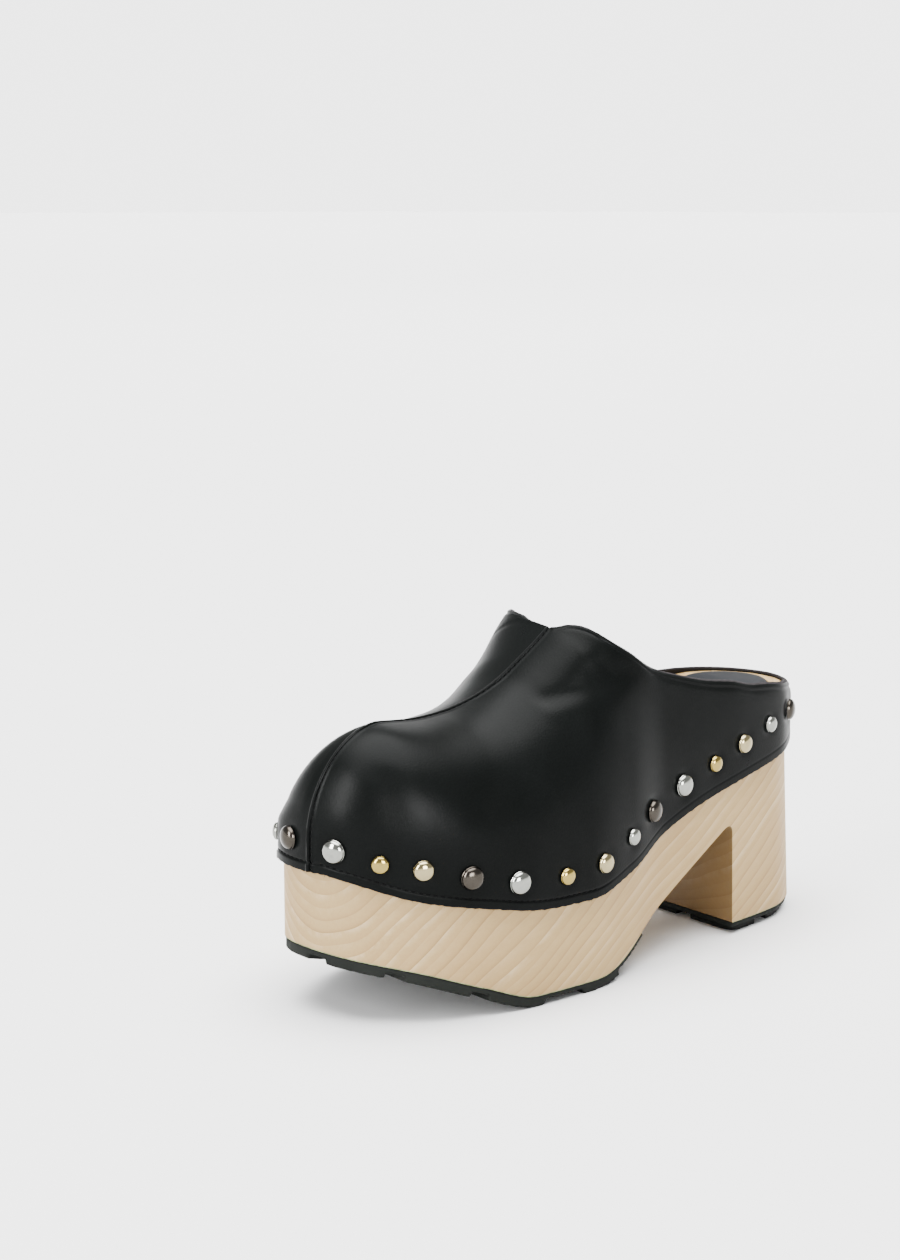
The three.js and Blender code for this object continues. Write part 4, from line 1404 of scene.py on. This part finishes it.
def make_glue_line():
    """A thin wall in the gap under the wood, round the forefoot and round the heel."""
    net = Net()
    toe = angle_of(np.linspace(-SOLE_LENGTH / 2, float(along_sole(TREAD_END)), FOREFOOT_STEPS))
    heel = angle_of(np.linspace(GLUE_HEEL_START, SOLE_LENGTH / 2, HEEL_STEPS))
    round_toe = np.concatenate([-toe[::-1], toe[1:]])
    round_heel = np.concatenate([heel, -heel[::-1][1:]])
    for ways, top_of in ((round_toe, underside), (round_heel, heel_underside)):
        base = edge_point(ways, GLUE_OUT)
        at = share_of(base[:, 1])
        top = top_of(at) + GLUE_LAP
        lines = []
        for height in (top, top - SEAT_GAP - 2 * GLUE_LAP):
            lines.append(np.column_stack([base[:, 0], base[:, 1] + heel_lean(at, height), height]))
        net.faces += grid_faces(net.add(np.array(lines)))
    finish_piece(net.piece("glue_line", GLUE), "tread_rubber")


make_glue_line()

# %% [markdown]
# ## Insole
# The insole is leather over foam, let into a pocket so that a rim of bare wood stays round it. Its edge
# is rounded and its middle is a little dished where the heel presses. A grid of cross strips lets the
# height follow the distance from the edge.

# %% Build the insole
PAD_COLUMNS = 30
PAD_STATIONS = 220
PAD_SINK = 0.5
PAD_CROWN = PAD_RISE + 1.2
PAD_ROUNDING = 1.1
PAD_DISH = 0.6
DISH_RUN = 9
PRESS_AT = 0.87
PRESS_WIDTH = 0.16


def make_insole():
    """Top of the pad, its wall down to the pocket's floor, and its underside."""
    edge = -RIM_WIDTH - SEAT_GAP
    angles = np.linspace(0, 1, PAD_STATIONS)
    outer = edge_point(angles, edge)
    inner = edge_point(-angles, edge)
    spread = 0.5 - 0.5 * np.cos(np.linspace(0, math.pi, PAD_COLUMNS))
    flat = outer[:, None] * (1 - spread[:, None]) + inner[:, None] * spread[:, None]
    rim = np.concatenate([outer, inner[::-1]])
    away = line_distance(flat, np.concatenate([rim[-1:], rim]))
    at = share_of(flat[..., 1])
    press = PAD_DISH * np.exp(-(((at - PRESS_AT) / PRESS_WIDTH) ** 2))
    rise = PAD_CROWN * (1 - np.exp(-away / PAD_ROUNDING)) - press * (1 - np.exp(-away / DISH_RUN))
    height = bed(at) - PAD_SINK + rise
    top = np.concatenate([flat, height[..., None]], -1)
    foot = np.concatenate([top[:, 0], top[::-1, -1]])
    foot[:, 2] = bed(share_of(foot[:, 1])) - POCKET_DEPTH + SEAT_GAP
    net = Net()
    ids = net.add(top)
    foot_ids = net.add(foot)
    rim_ids = np.concatenate([ids[:, 0], ids[::-1, -1]])
    wall = np.array([np.append(foot_ids, foot_ids[0]), np.append(rim_ids, rim_ids[0])])
    net.faces += grid_faces(ids) + grid_faces(wall)
    half = len(outer)
    net.faces += grid_faces(np.array([foot_ids[:half], foot_ids[half:][::-1]]))
    insole = net.piece("insole_pad", INSOLE_LEATHER)
    tidy_mesh(insole)
    finish_piece(insole, "insole_leather", "insole")


make_insole()

# %% [markdown]
# ## Nails
# Each nail head is pressed from sheet: a low dome with a small turned edge. A ring profile spun round
# the nail's own direction makes one, and all nails of one metal are joined, because they are fixed in
# the same leather and never move apart.

# %% Build the nails
DOME = 0.3
DOME_FOOT = 0.35
DOME_WIDTH = 0.97
DOME_RINGS = 12
NAIL_SINK = 0.28
NAIL_SIDES = 40
Ring = namedtuple("Ring", "radius height")
TURNED_EDGE = [Ring(0.9, 0), Ring(0.99, 0.02), Ring(1, 0.16), Ring(0.99, 0.3)]


def nail_profile(size):
    """Radius and height from the turned edge up to the middle of the dome."""
    radius = size / 2
    angle = np.linspace(0, math.pi / 2, DOME_RINGS)
    rise = DOME_FOOT + (size * DOME - DOME_FOOT) * np.sin(angle)
    dome = np.column_stack([radius * DOME_WIDTH * np.cos(angle), rise])
    edge = [[radius * ring.radius, ring.height] for ring in TURNED_EDGE]
    return np.concatenate([edge, dome])


def make_nails(metal):
    """All nails of one metal: each a profile spun round the nail's own direction."""
    net, names = Net(), []
    for name, (middle, outward, size) in sorted(nails.items()):
        if f"_{metal}_" not in name:
            continue
        names.append(name)
        profile = nail_profile(size)
        side = unit(np.cross(outward, [0.0, 0.0, 1.0]))
        up = np.cross(side, outward)
        around = np.linspace(0, 2 * math.pi, NAIL_SIDES, endpoint=False)
        arms = np.outer(np.cos(around), side) + np.outer(np.sin(around), up)
        radius, height = profile.T[..., None, None]
        ids = net.add(middle - outward * NAIL_SINK + radius * arms + height * outward)
        ids = np.concatenate([ids, ids[:, :1]], 1)
        ids[-1] = ids[-1, 0]
        net.faces += grid_faces(ids.T)
        net.faces.append(ids[0, :-1].tolist())
    piece = net.piece(f"nails_{metal}", NAILS[metal].material)
    tidy_mesh(piece)
    finish_piece(piece, NAILS[metal].slot, *names)


for metal in NAILS:
    make_nails(metal)

# %% [markdown]
# ## Stage, light and camera
# The clog stands on a wide pale floor that runs out into an equally pale horizon. Black leather shows a
# lamp only where it mirrors it, so two soft windows left and right of the camera give the streak at the
# toe and the broad patch beside it. Windows that also lit the floor would wash out the shadow under the
# toe, so these two show in mirroring surfaces only. A fill in the left one's place and a bright ceiling
# light wood and floor, and a weak window behind the shoe draws its far edges. Between windows and
# ceiling the room is dim, which keeps the leather black.

# %% Stage
FLOOR_RADIUS = 9.0
FLOOR_SIDES = 96
FLOOR_RINGS = np.concatenate([np.linspace(0.02, 1.5, 12), np.linspace(2, FLOOR_RADIUS, 8)])


def stage_finish():
    """Pale paper, a touch lighter far out, where the light of lamps and ceiling weakens."""
    made = Finish("stage_paper", (0.74, 0.74, 0.74), 0.9)
    away = made.add("VectorMath", {0: made.place}, operation="LENGTH").outputs["Value"]
    patch = made.noise(3.0, 2.0)
    near = made.mix(patch, (0.695, 0.695, 0.695), (0.705, 0.705, 0.705))
    made.join(made.mix(made.spread(away, 1.5, 7.0), near, (0.78, 0.78, 0.78)), "Base Color")
    made.set("Specular IOR Level", 0.0)
    return made.material


def make_stage():
    """A round floor in rings, close together under the shoe and wide apart beyond it."""
    around = np.linspace(0, 2 * math.pi, FLOOR_SIDES + 1)
    across, along = np.outer(FLOOR_RINGS, np.cos(around)), np.outer(FLOOR_RINGS, np.sin(around))
    net = Net()
    ids = net.add(np.stack([across, along, np.zeros_like(across)], -1) / MM - SHIFT)
    ids[:, -1] = ids[:, 0]
    net.faces += grid_faces(ids) + [ids[0, :-1].tolist()]
    net.piece("stage_floor", stage_finish())


make_stage()

# %% Lamps
# Each lamp faces the shoe. It has degrees around the shoe and up from the floor, metres away, and the
# size of its sheet. What is mirrored shows in leather and metal, and what lights falls on wood and floor.
Lamp = namedtuple("Lamp", "name around up away width height power mirrored lights")
LAMPS = [
    Lamp("left_window", -88, 28, 4.0, 1.3, 2.5, 440, True, False),
    Lamp("left_fill", -88, 28, 4.0, 1.3, 2.5, 210, False, True),
    Lamp("right_window", -17, 20, 4.0, 1.8, 1.5, 300, True, False),
    Lamp("back_window", 132, 30, 4.0, 2.2, 1.6, 30, True, True),
]
SHOE_MIDDLE = Vector((0, 0, 0.06))


def add_lamp(lamp):
    light = bpy.data.lights.new(lamp.name, "AREA")
    light.shape = "RECTANGLE"
    light.size = lamp.width
    light.size_y = lamp.height
    light.energy = lamp.power
    thing = bpy.data.objects.new(lamp.name, light)
    bpy.context.scene.collection.objects.link(thing)
    around, up = math.radians(lamp.around), math.radians(lamp.up)
    away = Vector((math.cos(around) * math.cos(up), math.sin(around) * math.cos(up), math.sin(up)))
    thing.location = SHOE_MIDDLE + away * lamp.away
    thing.visible_diffuse = lamp.lights
    thing.visible_glossy = lamp.mirrored
    thing.rotation_euler = (-away).to_track_quat("-Z", "Y").to_euler()


for lamp in LAMPS:
    add_lamp(lamp)
print(len(LAMPS), "lamps")

# %% Room light
# Brightness of the room by the height of the direction: 0 level with the floor, 1 straight up
Glow = namedtuple("Glow", "up light")
ROOM = [Glow(0, 3.9), Glow(0.10, 3.9), Glow(0.24, 0.8), Glow(0.80, 0.8), Glow(0.93, 19), Glow(1, 19)]
BRIGHTEST = max(glow.light for glow in ROOM)

room = bpy.data.worlds.new("room")
room.use_nodes = True
nodes, links = room.node_tree.nodes, room.node_tree.links
direction = nodes.new("ShaderNodeTexCoord")
height = nodes.new("ShaderNodeSeparateXYZ")
ramp = nodes.new("ShaderNodeValToRGB")
links.new(direction.outputs["Generated"], height.inputs["Vector"])
links.new(height.outputs["Z"], ramp.inputs["Fac"])
stops = ramp.color_ramp.elements
while len(stops) < len(ROOM):
    stops.new(0.5)
for stop, glow in zip(stops, ROOM):
    stop.position = glow.up
for stop, glow in zip(stops, ROOM):
    stop.color = (*[glow.light / BRIGHTEST] * 3, 1)
links.new(ramp.outputs["Color"], nodes["Background"].inputs["Color"])
nodes["Background"].inputs["Strength"].default_value = BRIGHTEST
bpy.context.scene.world = room
print("room light by height:", [tuple(glow) for glow in ROOM])

# %% Camera
PHOTO_HEIGHT = 1260
FOCAL_PIXELS = 2542
SENSOR = 36
CAMERA_PLACE = (0.7242, -0.6697, 0.3291)
LOOK_DOWN = 11.24
LOOK_ROUND = 49.73

view = bpy.data.cameras.new("camera")
view.sensor_width = SENSOR
view.lens = FOCAL_PIXELS * SENSOR / PHOTO_HEIGHT
camera = bpy.data.objects.new("camera", view)
bpy.context.scene.collection.objects.link(camera)
camera.location = CAMERA_PLACE
camera.rotation_euler = (math.radians(90 - LOOK_DOWN), 0, math.radians(LOOK_ROUND))
bpy.context.scene.camera = camera
print("lens", round(view.lens, 1), "mm")
